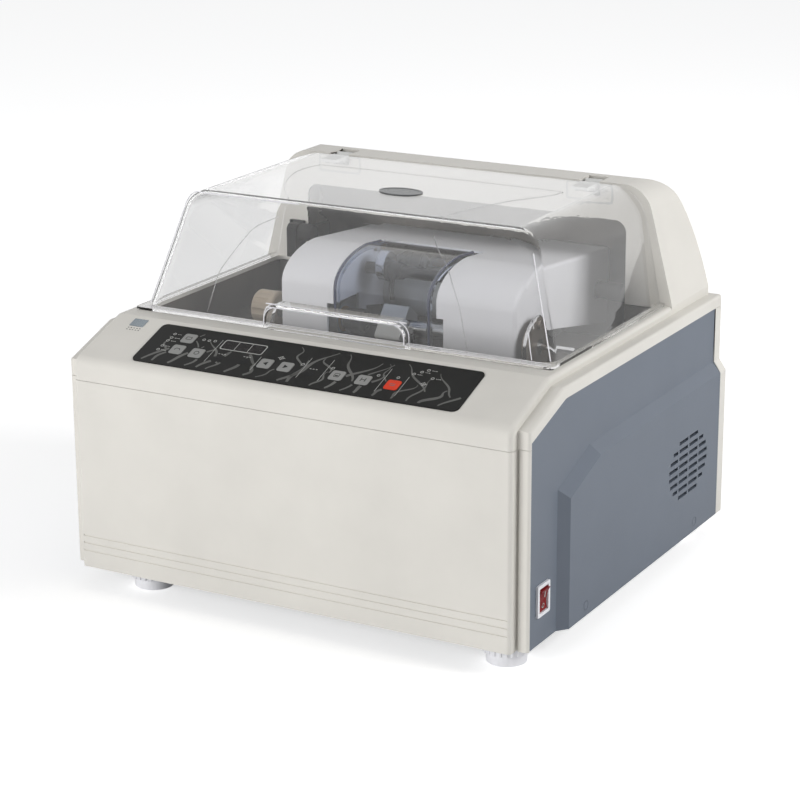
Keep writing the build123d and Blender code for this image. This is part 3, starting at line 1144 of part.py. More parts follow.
# ---- nodes ----
def collect():
    nodes = {
        "base_plate": [base_plate()] + foot_screws(), "lower_housing": lower_housing(),
        "upper_shell": upper_shell(), "left_side_panel": side_panel(True),
        "right_side_panel": side_panel(False), "rear_panel": rear_panel(),
        "panel_screw_caps": screw_caps(), "feet": feet(), "wet_tray": [wet_tray(), drain_spigot()],
        "hood": hood_shell(), "hood_hinge_arms": hinge_arms(),
        "hinge_brackets": hinge_brackets() + hinge_pins(),
        "frame_plates": frame_plates() + [motor_cradle()], "carriage_shaft": carriage_shaft(),
        "carriage_sleeve": carriage_sleeve(), "lead_screw": lead_screw(),
        "traverse_motor": traverse_motor(), "head_frame": head_frame(), "head_cover": head_cover(),
        "cross_tube": cross_tube(), "head_bushes": lens_bushes() + visor_pins(),
        "layshaft": [layshaft()] + layshaft_pulleys(), "lens_drive_belts": lens_drive_belts(),
        "lens_motor": lens_motor(), "left_lens_pulley": left_lens_pulley(),
        "left_lens_shaft": left_lens_shaft(), "left_chuck": left_chuck(),
        "clamp_knob": clamp_knob(), "right_lens_shaft": [right_lens_shaft(), right_lens_pulley()],
        "right_chuck": right_chuck(),
        "template_disc": [template_disc(), template_back_disc(), template_pin(), template_screw()],
        "lens_visor": lens_visor(), "water_bar": water_bar(),
        "traverse_stop": [stop_bracket(), stop_stud()], "stop_bumper": stop_bumper(),
        "roughing_wheel": wheel(0, 0), "bevel_wheel": wheel(1, BEVEL_GROOVE),
        "finishing_wheel": wheel(2, 0), "wheel_spindle": [wheel_spindle(), spindle_pulley(), wheel_nut()],
        "spindle_housing": [spindle_housing()] + spindle_bearings(),
        "drive_belt": drive_belt(),
        "motor_housing": motor_housing(), "motor_rotor": [motor_rotor(), motor_pulley()],
        "control_overlay": control_overlay(),
        "display_window": display_window(),
        "switch_housing": [switch_housing(), rocker_pin()], "power_rocker": power_rocker(),
        "fan_frame": fan_frame(), "fan_rotor": fan_rotor(), "mains_inlet": mains_inlet(),
        "transformer": transformer(), "circuit_boards": [control_board(), keypad_board()] + board_posts(),
    }
    for name, (x, s) in KEYS.items():
        nodes[name] = key_cap(x, s)
    return nodes


def solids_of(shape):
    if isinstance(shape, (list, tuple)):
        return [solid for piece in shape for solid in solids_of(piece)]
    return list(shape.solids())


def main():
    os.makedirs("parts", exist_ok=True)
    for name, shape in collect().items():
        placed = [Pos(*ORIGIN) * solid for solid in solids_of(shape)]
        whole = placed[0] if len(placed) == 1 else Compound(children=placed)
        export_step(whole, "parts/" + name + ".step")


main()
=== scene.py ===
"""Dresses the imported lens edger: materials for every CAD node, printed control overlay,
hood trim, plates, small fasteners, coolant fittings, stage, lights and camera."""
import math
import random

import bmesh
import bpy
from mathutils import Matrix, Vector


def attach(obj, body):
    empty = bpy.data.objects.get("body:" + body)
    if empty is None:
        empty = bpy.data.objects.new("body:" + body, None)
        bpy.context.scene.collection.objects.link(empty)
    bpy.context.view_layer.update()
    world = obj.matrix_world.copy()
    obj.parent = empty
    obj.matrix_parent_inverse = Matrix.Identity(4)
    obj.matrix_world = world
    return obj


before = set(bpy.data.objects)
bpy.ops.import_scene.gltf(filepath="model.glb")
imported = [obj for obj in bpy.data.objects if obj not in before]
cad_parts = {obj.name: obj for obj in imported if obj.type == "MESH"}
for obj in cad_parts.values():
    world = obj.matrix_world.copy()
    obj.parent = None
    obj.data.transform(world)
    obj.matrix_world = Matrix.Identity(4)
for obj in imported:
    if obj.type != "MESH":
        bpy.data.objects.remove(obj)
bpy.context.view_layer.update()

bl_info = {
    "name": "Lens edger dressing",
    "version": (1, 0, 0),
    "blender": (4, 5, 0),
    "location": "View3D > Sidebar > Edger",
    "description": "Adds materials, trim, prints and a stage to the packed lens edger",
    "category": "Object",
}

# ---- places, from the CAD: millimetres, X right, Y back from the front face, Z up ----
SHIFT = Vector((0.0, -224.2, 22.0))
SLOPE_Z0, SLOPE_RISE = 212.3, 27.2 / 75.0
SLOPE_A = math.atan(SLOPE_RISE)
OVERLAY_Y = 10.0
OVERLAY_HALF, OVERLAY_LEN = 175.0, 62.0
OVERLAY_LIFT = 0.9
KEY_LIFT = 1.4
KEYS = {
    "key_mode": (-135.5, 44.5, "frame"), "key_frame": (-137.2, 25.5, "cap"),
    "key_lens": (-114.8, 24.5, "ring"), "key_size_down": (-38.3, 25.0, "left"),
    "key_size_up": (-16.2, 24.7, "right"), "key_left": (39.5, 24.0, "half"),
    "key_right": (67.5, 23.5, "gate"), "key_start": (98.3, 23.0, "bar"),
}
DARK_KEYS = ((-88.3, 21.5), (-61.2, 23.0), (12.6, 20.5))
DISPLAY = (-73.5, 44.0, 44.0, 12.0)
LAMPS = ((-156.8, 21.5), (-156.1, 28.2), (-155.3, 37.0), (-154.1, 42.1), (-154.1, 48.3),
         (-119.6, 46.3), (-113.5, 46.1), (-107.2, 46.8), (-1.7, 32.7), (30.1, 33.9),
         (78.2, 33.7), (98.2, 34.9), (110.0, 43.5), (116.0, 48.0), (121.0, 52.0), (130.5, 41.0))
SEPARATORS = ((-100.0, 14.0, 50.0), (-48.0, 12.0, 34.0), (2.0, 12.0, 44.0), (25.0, 12.0, 46.0),
              (86.0, 10.0, 46.0), (108.0, 8.0, 38.0))
HOOD_TOP, HOOD_LOW = 356.0, 239.8
HOOD_FRONT = (105.0, 131.0)                  # Y of the front face at its foot and at its top
HOOD_HALF = (223.0, 187.0)                   # half widths there
HINGE_X = 143.0
HEAD_ROLL = (254.0, 258.6, 64.0, 32.0)       # the head's rounded top: centre Y and Z, depth, height
VISOR_EDGES = (("left", -55.6, 231.5), ("right", 49.2, 212.0))
STOP_AXIS = (340.0, 271.0, 3.1)              # Y, Z and reach of the traverse stop's stud
TEMPLATE = (150.0, 220.0, 221.0, 30.0)       # template disc: left face X, centre Y and Z, radius
VENT = (355.5, 77.0, 100.0, 65.0)
FIELD_FACE = 254.8                           # X of the right panel's raised field
PANEL_T = 3.0
FOIL = (-202.5, 58.0, 16.0, 12.0)            # bare plate on the slope: X, S, width, height
ROCKER_AXIS, ROCKER_LEAN = (244.4, 40.3, 42.6), math.radians(9.0)
ROCKER_FACE = 4.1                            # the rocker's face over its axis
HINGE_POCKET_Z = 342.6
COLLAR_AT = (-40.5, 258.0, 270.0)
LAMP_HEIGHT = 0.00014                        # metres
# relief lines of the hood: across the front as (X, Z), over the top as (X, Y)
RELIEF_LEFT = ((-79.5, 342.0), (-103.2, 330.0), (-115.2, 318.0), (-133.4, 294.0), (-142.0, 278.8),
               (-150.2, 244.0))
RELIEF_RIGHT = ((88.5, 342.0), (93.9, 331.0), (105.9, 315.0), (113.8, 299.0), (123.7, 277.5),
                (134.8, 244.0))
RELIEF_TOP = ((-80, 146), (-117, 199), (-137, 253), (-134.5, 290), (-120, 296), (0, 297),
              (128, 294.5), (139.7, 286), (136, 270), (109, 222), (87.4, 146))
CORNER_HEIGHTS = (243.5, 262.0, 281.0, 300.0, 318.0, 336.0)
# painted highlight lines on the hood's lip and round its grip
LIP_LINES = ((94.8, 0.8), (99.0, 0.55), (103.2, 0.7))     # Y and thickness share
GRIP_LINES = ((91.8, 76.5, 22.0), (96.5, 79.2, 24.1))     # Y, half width and height
GRIP_CORNER = 13.0
CORNER_IN = 2.8                              # the rounded corner's face, in from the sharp one
BADGE_AT = (2.0, 221.0)                      # X and Y of the hood's oval plate
SCREW_HEIGHT = 0.0012                        # metres
# the photo's camera, solved from the housing's edges, in metres and millimetres of lens
CAM_AT = Vector((1.1412, -2.0402, 0.8895))
CAM_TO = Vector((0.0182, -0.0362, 0.1780))
CAM_ROLL = math.radians(-0.30)
CAM_LENS = 110.4
# soft lamps: name, place, size and watts
STUDIO = (("key", (-1.3, -2.9, 0.95), 1.6, 65.0), ("side", (1.9, 0.5, 1.2), 1.0, 27.0),
          ("top", (0.1, 1.4, 2.3), 1.8, 6.0))
FLOOR_HALF = 6.0
ROOM_LIGHT = 0.23


def place(x, y, z):
    """Millimetres in the CAD's modelling frame to metres in the shared frame."""
    return (Vector((x, y, z)) + SHIFT) / 1000.0


def on_slope(x, s, lift=0.0):
    """A point on the control slope, s up from the overlay's lower edge, lift above the face."""
    y = OVERLAY_Y + s * math.cos(SLOPE_A) - lift * math.sin(SLOPE_A)
    z = SLOPE_Z0 + SLOPE_RISE * (OVERLAY_Y + s * math.cos(SLOPE_A)) + lift * math.cos(SLOPE_A)
    return place(x, y, z)


# ---- colours and materials ----
def linear(code, alpha=1.0):
    """sRGB hex to Blender's linear colour."""
    values = [int(code[i:i + 2], 16) / 255.0 for i in (0, 2, 4)]
    curve = (v / 12.92 if v <= 0.04045 else ((v + 0.055) / 1.055) ** 2.4 for v in values)
    return (*curve, alpha)


def picked(colour):
    """Linear RGBA from sRGB hex, or from a colour setting."""
    return linear(colour) if isinstance(colour, str) else (*colour[:3], 1.0)


def darker(colour, share):
    red, green, blue, alpha = picked(colour)
    return (red * share, green * share, blue * share, alpha)


def add(tree, kind, where=(0, 0), places=None, **named):
    """Adds one node. Keywords are its settings, or its sockets with _ for a space, and places gives
    sockets by number. A value that is itself a socket is linked."""
    node = tree.nodes.new(kind)
    node.location = where
    values = {}
    for key, value in named.items():
        if key.replace("_", " ") in node.inputs:
            values[key.replace("_", " ")] = value
        else:
            setattr(node, key, value)
    for key, value in {**values, **(places or {})}.items():
        if isinstance(value, bpy.types.NodeSocket):
            tree.links.new(value, node.inputs[key])
        else:
            node.inputs[key].default_value = value
    return node


def new_material(name):
    made = bpy.data.materials.new(name)
    made.use_nodes = True
    made.node_tree.nodes.clear()
    return made, made.node_tree


def finish_surface(tree, shader):
    add(tree, "ShaderNodeOutputMaterial", (700, 0), Surface=shader.outputs[0])


DRIFT_SCALE = 14.0             # colour drift: patches of about 70 mm
GRAIN_DEPTH = 0.0004           # metres
WAVE_SCALE, WAVE_DEPTH = 30.0, 0.0006
NOISE_LOW, NOISE_HIGH = 0.3, 0.7             # the range that a noise really fills
A_COLOUR, B_COLOUR, MIXED = 6, 7, 2          # places of the colour sockets on a Mix node


def surface(name, code, code2=None, rough=(0.4, 0.5), metallic=0.0, grain=900.0, bump=0.05,
            stretch=None, coat=0.0, specular=0.5, spots=None):
    """One opaque finish in object space: the colour drifts from code to code2, the roughness drifts
    with a fine grain, and the grain gives a slight relief. spots are a colour and a scale."""
    made, tree = new_material(name)
    coords = add(tree, "ShaderNodeTexCoord", (-1000, 0)).outputs["Object"]
    along = coords
    if stretch:
        along = add(tree, "ShaderNodeMapping", (-800, -200), Vector=coords,
                    Scale=stretch).outputs[0]
    drift = add(tree, "ShaderNodeTexNoise", (-600, 200), Vector=coords, Scale=DRIFT_SCALE,
                Detail=4.0)
    share = add(tree, "ShaderNodeMapRange", (-400, 200), Value=drift.outputs["Fac"],
                From_Min=NOISE_LOW, From_Max=NOISE_HIGH)
    colour = add(tree, "ShaderNodeMix", (-200, 200), data_type="RGBA",
                 Factor=share.outputs["Result"],
                 places={A_COLOUR: picked(code2) if code2 else darker(code, 0.94),
                         B_COLOUR: picked(code)}).outputs[MIXED]
    if spots:
        speck = add(tree, "ShaderNodeTexNoise", (-600, 500), Vector=coords, Scale=spots[1],
                    Detail=2.0, Roughness=0.7)
        mask = add(tree, "ShaderNodeMapRange", (-400, 500), Value=speck.outputs["Fac"],
                   From_Min=0.55, From_Max=0.66)
        colour = add(tree, "ShaderNodeMix", (0, 300), data_type="RGBA",
                     Factor=mask.outputs["Result"],
                     places={A_COLOUR: colour, B_COLOUR: linear(spots[0])}).outputs[MIXED]
    fine = add(tree, "ShaderNodeTexNoise", (-600, -200), Vector=along, Scale=grain, Detail=3.0,
               Roughness=0.6)
    dull = add(tree, "ShaderNodeMapRange", (-400, -200), Value=fine.outputs["Fac"], To_Min=rough[0],
               To_Max=rough[1], From_Min=NOISE_LOW, From_Max=NOISE_HIGH)
    relief = add(tree, "ShaderNodeBump", (200, -200), Height=fine.outputs["Fac"], Strength=bump,
                 Distance=GRAIN_DEPTH)
    shader = add(tree, "ShaderNodeBsdfPrincipled", (400, 0), Metallic=metallic, Base_Color=colour,
                 Roughness=dull.outputs["Result"], Normal=relief.outputs["Normal"],
                 Coat_Weight=coat, Coat_Roughness=0.12, Specular_IOR_Level=specular)
    finish_surface(tree, shader)
    return made


def clear(name, code, rough, ior, tint, sheen):
    """Clear plastic with the slight waviness of its moulding. tint is what each skin lets through
    of a lamp's light, and sheen is how much its outer skin mirrors."""
    made, tree = new_material(name)
    coords = add(tree, "ShaderNodeTexCoord", (-600, 0)).outputs["Object"]
    wave = add(tree, "ShaderNodeTexNoise", (-400, 0), Vector=coords, Scale=WAVE_SCALE, Detail=3.0)
    relief = add(tree, "ShaderNodeBump", (0, -200), Height=wave.outputs["Fac"], Strength=0.05,
                 Distance=WAVE_DEPTH)
    shader = add(tree, "ShaderNodeBsdfPrincipled", (300, 0), Base_Color=linear(code),
                 Roughness=rough, IOR=ior, Transmission_Weight=1.0, Coat_Weight=sheen,
                 Coat_Roughness=rough, Normal=relief.outputs["Normal"])
    passing = add(tree, "ShaderNodeBsdfTransparent", (300, -300), Color=linear(tint))
    rays = add(tree, "ShaderNodeLightPath", (100, 300))
    finish_surface(tree, add(tree, "ShaderNodeMixShader", (520, 0), places={
        0: rays.outputs["Is Shadow Ray"], 1: shader.outputs[0], 2: passing.outputs[0]}))
    return made


def plain(name, code, rough=0.3):
    """A plain finish for dots too small to show any grain."""
    made, tree = new_material(name)
    finish_surface(tree, add(tree, "ShaderNodeBsdfPrincipled", (300, 0), Base_Color=linear(code),
                             Roughness=rough))
    return made


MATERIALS = {}


def make_materials(settings):
    """Every finish of the edger. Each comment says what the real material gives the eye."""
    MATERIALS.update(
        # moulded ABS, spark-textured tool: warm, even, matt off-white
        ivory=surface("ivory_abs", settings.housing, grain=1500, bump=0.06),
        # painted shade: the mouth's inner plastic, darkened for its shade, dull and blotched
        soiled=surface("soiled_abs", "7C7771", "5E5953", rough=(0.5, 0.65), bump=0.1,
                       spots=("47433E", 12.0), specular=0.1),
        # baked enamel on sheet steel: smooth blue-grey with a low sheen
        slate=surface("slate_enamel", settings.panels, rough=(0.34, 0.42), grain=1400, bump=0.03),
        # fine-textured moulded ABS: cool white, satin
        white=surface("white_abs", "F2F2F5", "EDEDF1", rough=(0.34, 0.45), grain=1300),
        # painted shade: ground steel darkened for the shade inside the hump; smooth and glossy
        oiled=surface("steel_painted_shade", "4A4A4A", "3A3A3B", rough=(0.3, 0.45), metallic=0.8, grain=300,
                      bump=0.04),
        # turned steel tinted grey-brown as a painted reflection of the dark chamber; soft gloss
        disc=surface("steel_painted_reflection", "968B80", "82786E", rough=(0.3, 0.45), metallic=0.7,
                     grain=400, bump=0.08),
        # cut edge of tinted polycarbonate: deep blue, because it gathers the sheet's tint
        edge=surface("tinted_edge", "3C4568", "2E3552", rough=(0.08, 0.15), bump=0.02, coat=0.8),
        # natural polypropylene: pale, waxy grey
        pale=surface("pale_polypropylene", "C9C9C6", "BFBFBB", rough=(0.4, 0.55)),
        # machined nylon, yellowed by age: cream, satin
        cream=surface("cream_nylon", "C6B8A6", "B8A995", rough=(0.35, 0.5)),
        # painted shade: the tray darkened to brown-grey for the chamber's shade; matt, blotched
        tray=surface("tray_painted_shade", "5C564F", "48433D", rough=(0.4, 0.65), grain=500, bump=0.1,
                     spots=("3E3933", 18.0), specular=0.1),
        # moulded black nylon: near black, matt
        black=surface("black_nylon", "1D1D1F", "151516", rough=(0.4, 0.55), bump=0.08,
                      specular=0.15),
        # printed polyester overlay: even near-black with little glare
        film=surface("overlay_film", settings.film, rough=(0.35, 0.45), grain=1600, bump=0.03,
                     specular=0.12),
        # the same film over the keys: flat mid grey
        keypad=surface("key_film", settings.keys, grain=1400, specular=0.2),
        # and over the start key: flat orange-red
        keyred=surface("start_key_film", settings.start_key, grain=1400, specular=0.2),
        # tinted display window: almost black and smooth
        window=surface("display_window", "141212", "1A1414", rough=(0.2, 0.3), bump=0.0,
                       specular=0.15),
        # moulded red polycarbonate, unlit: deep red, smooth
        rocker=surface("red_polycarbonate", "8E0F14", "740B0F", rough=(0.25, 0.35), grain=700,
                       bump=0.02, specular=0.15),
        # light grey enamel on the hinge arms: satin
        grey=surface("grey_enamel", "E2E2E0", "DADAD8", rough=(0.35, 0.5), grain=700),
        # zinc-plated sheet: cool metal with cloudy patches
        zinc=surface("zinc_sheet", "A9ACAE", "8F9396", rough=(0.3, 0.5), metallic=1.0, grain=160),
        # turned steel: bright, with fine marks round the axis
        steel=surface("machined_steel", "B4B4B3", "9E9E9D", rough=(0.22, 0.38), metallic=1.0,
                      grain=260, bump=0.06, stretch=(0.15, 6.0, 6.0)),
        # stacked core plates: dull grey with fine lines
        core=surface("laminated_core", "77787A", "5E5F61", rough=(0.45, 0.6), metallic=1.0,
                     grain=400, bump=0.25, stretch=(0.1, 6.0, 0.1)),
        # ground chrome: a clean mirror
        chrome=surface("ground_chrome", "D5D5D6", "C6C6C8", rough=(0.08, 0.16), metallic=1.0,
                       grain=500, bump=0.02),
        # cast aluminium: pale, grainy, scattering its highlights
        alloy=surface("cast_alloy", "B3B5B6", "9C9FA1", rough=(0.4, 0.6), metallic=1.0, grain=420,
                      bump=0.3),
        # sintered bronze: brownish gold, open-pored
        bronze=surface("sintered_bronze", "B08B52", "96733F", rough=(0.3, 0.5), metallic=1.0,
                       grain=800, bump=0.15),
        # diamond grit in a metal bond: brown and rough, with light grains drawn coarser than real
        grit=surface("bonded_grit", "6B4A33", "553826", rough=(0.6, 0.85), metallic=0.2, grain=1100,
                     bump=0.6, spots=("8A6A4E", 900.0)),
        # sprayed motor enamel: blue-black, slightly rough
        motor=surface("motor_enamel", "2C2D30", "232427", rough=(0.35, 0.5), grain=500, bump=0.15),
        # moulded rubber: black and dry
        rubber=surface("black_rubber", "1C1C1C", "161616", rough=(0.6, 0.8), bump=0.2),
        # solder mask on a board: glossy green
        board=surface("solder_mask", "1F5A34", "184A2A", rough=(0.25, 0.4), grain=700, bump=0.1),
        # screen ink on the film: pale and flat
        print=surface("pale_ink", "C6C6C2", "B8B8B4", grain=1200, specular=0.2),
        # the same in grey, for the motif
        printgrey=surface("grey_ink", "72726F", "565654", grain=1200, specular=0.2),
        # black ink, and painted shade in open gaps: no light comes back
        dark=surface("black_ink_and_gap_shade", "101011", "0B0B0C", rough=(0.7, 0.9), grain=600),
        # bare aluminium foil: cool grey, softly bright
        foil=surface("bare_foil", "8F989E", "7C868D", rough=(0.2, 0.35), metallic=0.7, grain=300,
                     bump=0.1),
        # lacquered metal plate: smooth mid grey
        badge=surface("badge_lacquer", "6D6F70", "626465", rough=(0.25, 0.35), metallic=0.3),
        # painted highlight: almost white lines for reflections along the clear acrylic's edges
        gleam=surface("painted_highlight_edge", "F6F5F8", "ECEBF0", rough=(0.15, 0.25), bump=0.02),
        # moulded clear acrylic: colourless, and its skin mirrors the room. The body bends light
        # less than acrylic's 1.49, because its round edges would read dark, and the photo's don't
        hood=clear("clear_acrylic", "F8F8F8", 0.012, 1.24, "FFFFFF", 1.0),
        # bent polycarbonate sheet: clear with a blue cast
        visor=clear("visor_polycarbonate", "DADFEA", 0.02, 1.22, "EEF1F6", 0.3),
        # unlit lamp lens: dark grey
        lens=plain("lamp_lens", "2A2A29"),
    )


NODE_FINISH = {
    "ivory": ("lower_housing", "upper_shell", "rear_panel"),
    "slate": ("left_side_panel", "right_side_panel", "panel_screw_caps"),
    "white": ("feet", "head_cover", "switch_housing"),
    "pale": ("cross_tube", "right_chuck"),
    "cream": ("clamp_knob",),
    "tray": ("wet_tray",),
    "black": ("fan_frame", "fan_rotor", "mains_inlet", "water_bar"),
    "film": ("control_overlay",),
    "window": ("display_window",),
    "keypad": ("key_mode", "key_frame", "key_lens", "key_size_down", "key_size_up", "key_left",
               "key_right"),
    "keyred": ("key_start",),
    "rocker": ("power_rocker",),
    "zinc": ("base_plate", "frame_plates"),
    "steel": ("spindle_housing", "motor_rotor", "traverse_stop", "left_lens_shaft",
              "right_lens_shaft"),
    "grey": ("hood_hinge_arms", "hinge_brackets"),
    "core": ("transformer",),
    "chrome": ("layshaft", "wheel_spindle"),
    "oiled": ("carriage_shaft", "lead_screw"),
    "disc": ("template_disc",),
    "alloy": ("head_frame", "left_lens_pulley"),
    "bronze": ("carriage_sleeve", "head_bushes"),
    "grit": ("roughing_wheel", "bevel_wheel", "finishing_wheel"),
    "motor": ("motor_housing", "traverse_motor", "lens_motor"),
    "rubber": ("drive_belt", "lens_drive_belts", "stop_bumper", "left_chuck"),
    "board": ("circuit_boards",),
    "hood": ("hood",),
    "visor": ("lens_visor",),
}


# ---- mesh helpers ----
def new_piece(name, points, faces, finish, body):
    """A mesh piece from points in metres, riding on a body, with the record's material slot."""
    mesh = bpy.data.meshes.new(name)
    mesh.from_pydata([tuple(p) for p in points], [], faces)
    mesh.update()
    made = bpy.data.objects.new(name, mesh)
    bpy.context.scene.collection.objects.link(made)
    mesh.materials.append(MATERIALS[finish])
    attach(made, body)
    return made


class Sheet:
    """Collects flat prints and low solids for one mesh piece."""

    def __init__(self):
        self.points, self.faces = [], []

    def slab(self, low, high):
        """A closed slab between two rings of equal length."""
        start, n = len(self.points), len(low)
        self.points += list(low) + list(high)
        self.faces.append(list(reversed(range(start, start + n))))
        self.faces.append(list(range(start + n, start + 2 * n)))
        for i in range(n):
            j = (i + 1) % n
            self.faces.append([start + i, start + j, start + n + j, start + n + i])

    def ring(self, outer_low, outer_high, inner_low, inner_high):
        """A closed frame: outer and inner rings, low and high, all of equal length."""
        start, n = len(self.points), len(outer_low)
        self.points += list(outer_low) + list(outer_high) + list(inner_high) + list(inner_low)
        for k in range(4):
            a, b = start + k * n, start + ((k + 1) % 4) * n
            for i in range(n):
                j = (i + 1) % n
                self.faces.append([a + i, a + j, b + j, b + i])

    def stroke(self, line, width, low, high, where):
        """A thin raised stroke along a line of (u, v) points; where maps (u, v, lift) to metres."""
        widths = width if isinstance(width, (list, tuple)) else [width] * len(line)
        left, right = [], []
        for i, (u, v) in enumerate(line):
            a, b = line[max(i - 1, 0)], line[min(i + 1, len(line) - 1)]
            du, dv = b[0] - a[0], b[1] - a[1]
            size = math.hypot(du, dv) or 1.0
            nu, nv = -dv / size * widths[i] / 2, du / size * widths[i] / 2
            left.append((u + nu, v + nv))
            right.append((u - nu, v - nv))
        self.grid_slab(right, left, low, high, where)

    def piece(self, name, finish, body):
        """What was collected, as one mesh piece."""
        return new_piece(name, self.points, self.faces, finish, body)

    def grid_slab(self, right, left, low, high, where):
        start, n = len(self.points), len(right)
        for lift in (low, high):
            self.points += [where(u, v, lift) for u, v in right + left]
        for i in range(n - 1):
            a, b = start + i, start + n + i
            self.faces.append([a, a + 1, b + 1, b][::-1])
            c, d = a + 2 * n, b + 2 * n
            self.faces.append([c, c + 1, d + 1, d])
            self.faces.append([a, a + 1, c + 1, c])
            self.faces.append([b + 1, b, d, d + 1])
        for i in (0, n - 1):
            a, b = start + i, start + n + i
            face = [a, b, b + 2 * n, a + 2 * n]
            self.faces.append(face if i else face[::-1])


def rounded(cx, cy, w, h, r, steps=4):
    """Corner points of a rounded rectangle."""
    ring = []
    for qx, qy, a0 in ((1, 1, 0), (-1, 1, 90), (-1, -1, 180), (1, -1, 270)):
        for i in range(steps + 1):
            a = math.radians(a0 + 90.0 * i / steps)
            ring.append((cx + qx * (w / 2 - r) + r * math.cos(a),
                         cy + qy * (h / 2 - r) + r * math.sin(a)))
    return ring


def circle(cx, cy, r, count=20):
    return [(cx + r * math.cos(2 * math.pi * i / count), cy + r * math.sin(2 * math.pi * i / count))
            for i in range(count)]


def slab_on(sheet, ring, where, low, high):
    sheet.slab([where(u, v, low) for u, v in ring], [where(u, v, high) for u, v in ring])


def frame_on(sheet, outer, inner, where, low, high):
    sheet.ring([where(u, v, low) for u, v in outer], [where(u, v, high) for u, v in outer],
               [where(u, v, low) for u, v in inner], [where(u, v, high) for u, v in inner])


def grown(name, base, sizes, build, finish, body):
    """Grows a piece on a base mesh with Geometry Nodes. sizes become the group's named inputs, in
    metres; build(group, start) returns the geometry socket. The result is kept as a plain mesh."""
    group = bpy.data.node_groups.new(name + "_nodes", "GeometryNodeTree")
    group.interface.new_socket("Geometry", in_out="INPUT", socket_type="NodeSocketGeometry")
    group.interface.new_socket("Geometry", in_out="OUTPUT", socket_type="NodeSocketGeometry")
    named = {}
    for label, value in sizes.items():
        named[label] = group.interface.new_socket(label, in_out="INPUT",
                                                  socket_type="NodeSocketFloat")
        named[label].default_value = value
    start = add(group, "NodeGroupInput", (-900, 0))
    real = add(group, "GeometryNodeRealizeInstances", (300, 0), Geometry=build(group, start))
    painted = add(group, "GeometryNodeSetMaterial", (500, 0), Geometry=real.outputs[0],
                  Material=MATERIALS[finish])
    end = add(group, "NodeGroupOutput", (700, 0))
    group.links.new(painted.outputs[0], end.inputs[0])
    holder = bpy.data.objects.new(name + "_holder", base)
    bpy.context.scene.collection.objects.link(holder)
    step = holder.modifiers.new("grow", "NODES")
    step.node_group = group
    for label, value in sizes.items():
        step[named[label].identifier] = value
    deps = bpy.context.evaluated_depsgraph_get()
    mesh = bpy.data.meshes.new_from_object(holder.evaluated_get(deps))
    holder.modifiers.remove(step)
    bpy.data.objects.remove(holder)
    mesh.name = name
    made = bpy.data.objects.new(name, mesh)
    bpy.context.scene.collection.objects.link(made)
    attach(made, body)
    return made


def tube_piece(name, points, radius, finish, body):
    """A smooth round bead or tube that passes through points given in metres."""
    base = bpy.data.meshes.new(name + "_path")
    base.from_pydata([tuple(p) for p in points], [(i, i + 1) for i in range(len(points) - 1)], [])

    def build(group, start):
        line = add(group, "GeometryNodeMeshToCurve", (-700, 0), Mesh=start.outputs["Geometry"])
        bend = add(group, "GeometryNodeCurveSplineType", (-500, 0), spline_type="CATMULL_ROM",
                   Curve=line.outputs[0])
        fine = add(group, "GeometryNodeSetSplineResolution", (-300, 0), Geometry=bend.outputs[0],
                   Resolution=8)
        ring = add(group, "GeometryNodeCurvePrimitiveCircle", (-300, -200), Resolution=14,
                   Radius=start.outputs["Radius"])
        skin = add(group, "GeometryNodeCurveToMesh", (-100, 0), Curve=fine.outputs[0],
                   Profile_Curve=ring.outputs[0], Fill_Caps=True)
        return skin.outputs[0]

    made = grown(name, base, {"Radius": radius}, build, finish, body)
    made.data.polygons.foreach_set("use_smooth", [True] * len(made.data.polygons))
    return made


def lathe_faces(rows, steps):
    """Faces of a turned form of so many rings, closed at both ends."""
    faces = [[k * steps + i, k * steps + (i + 1) % steps, (k + 1) * steps + (i + 1) % steps,
              (k + 1) * steps + i] for k in range(rows - 1) for i in range(steps)]
    return faces + [list(reversed(range(steps))), list(range((rows - 1) * steps, rows * steps))]


def turned(name, profile, origin, axis, finish, body, steps=40):
    """A lathe-turned piece: profile of (along, radius) in millimetres about an axis."""
    axis = Vector(axis).normalized()
    side = axis.orthogonal().normalized()
    other = axis.cross(side)
    points = []
    for along, radius in profile:
        for i in range(steps):
            a = 2 * math.pi * i / steps
            rim = (side * math.cos(a) + other * math.sin(a)) * radius
            points.append(origin + (axis * along + rim) / 1000)
    made = new_piece(name, points, lathe_faces(len(profile), steps), finish, body)
    for polygon in made.data.polygons:
        polygon.use_smooth = len(polygon.vertices) == 4
    made.data.set_sharp_from_angle(angle=math.radians(35))


def scatter(name, template, spots, radius, height, finish, body):
    """Copies of a template of unit radius and height on spots, each a place and a rotation."""
    base = bpy.data.meshes.new(name + "_spots")
    base.from_pydata([tuple(p) for p, _ in spots], [], [])
    turn = base.attributes.new("turn", "FLOAT_VECTOR", "POINT")
    for i, (_, euler) in enumerate(spots):
        turn.data[i].vector = euler
    stamp = bpy.data.objects.new(name + "_stamp", template)
    bpy.context.scene.collection.objects.link(stamp)

    def build(group, start):
        info = add(group, "GeometryNodeObjectInfo", (-700, -200), Object=stamp)
        field = add(group, "GeometryNodeInputNamedAttribute", (-700, -400),
                    data_type="FLOAT_VECTOR", Name="turn")
        size = add(group, "ShaderNodeCombineXYZ", (-500, -300), X=start.outputs["Radius"],
                   Y=start.outputs["Radius"], Z=start.outputs["Height"])
        copies = add(group, "GeometryNodeInstanceOnPoints", (-300, 0), Scale=size.outputs[0],
                     Points=start.outputs["Geometry"], Instance=info.outputs["Geometry"],
                     Rotation=field.outputs["Attribute"])
        return copies.outputs[0]

    made = grown(name, base, {"Radius": radius, "Height": height}, build, finish, body)
    bpy.data.objects.remove(stamp)
    return made


def lathe_mesh(name, profile, steps):
    """A turned template about +Z, profile of (height, radius), both up to 1."""
    points = [(x, y, height) for height, radius in profile for x, y in circle(0, 0, radius, steps)]
    mesh = bpy.data.meshes.new(name)
    mesh.from_pydata(points, [], lathe_faces(len(profile), steps))
    mesh.update()
    return mesh


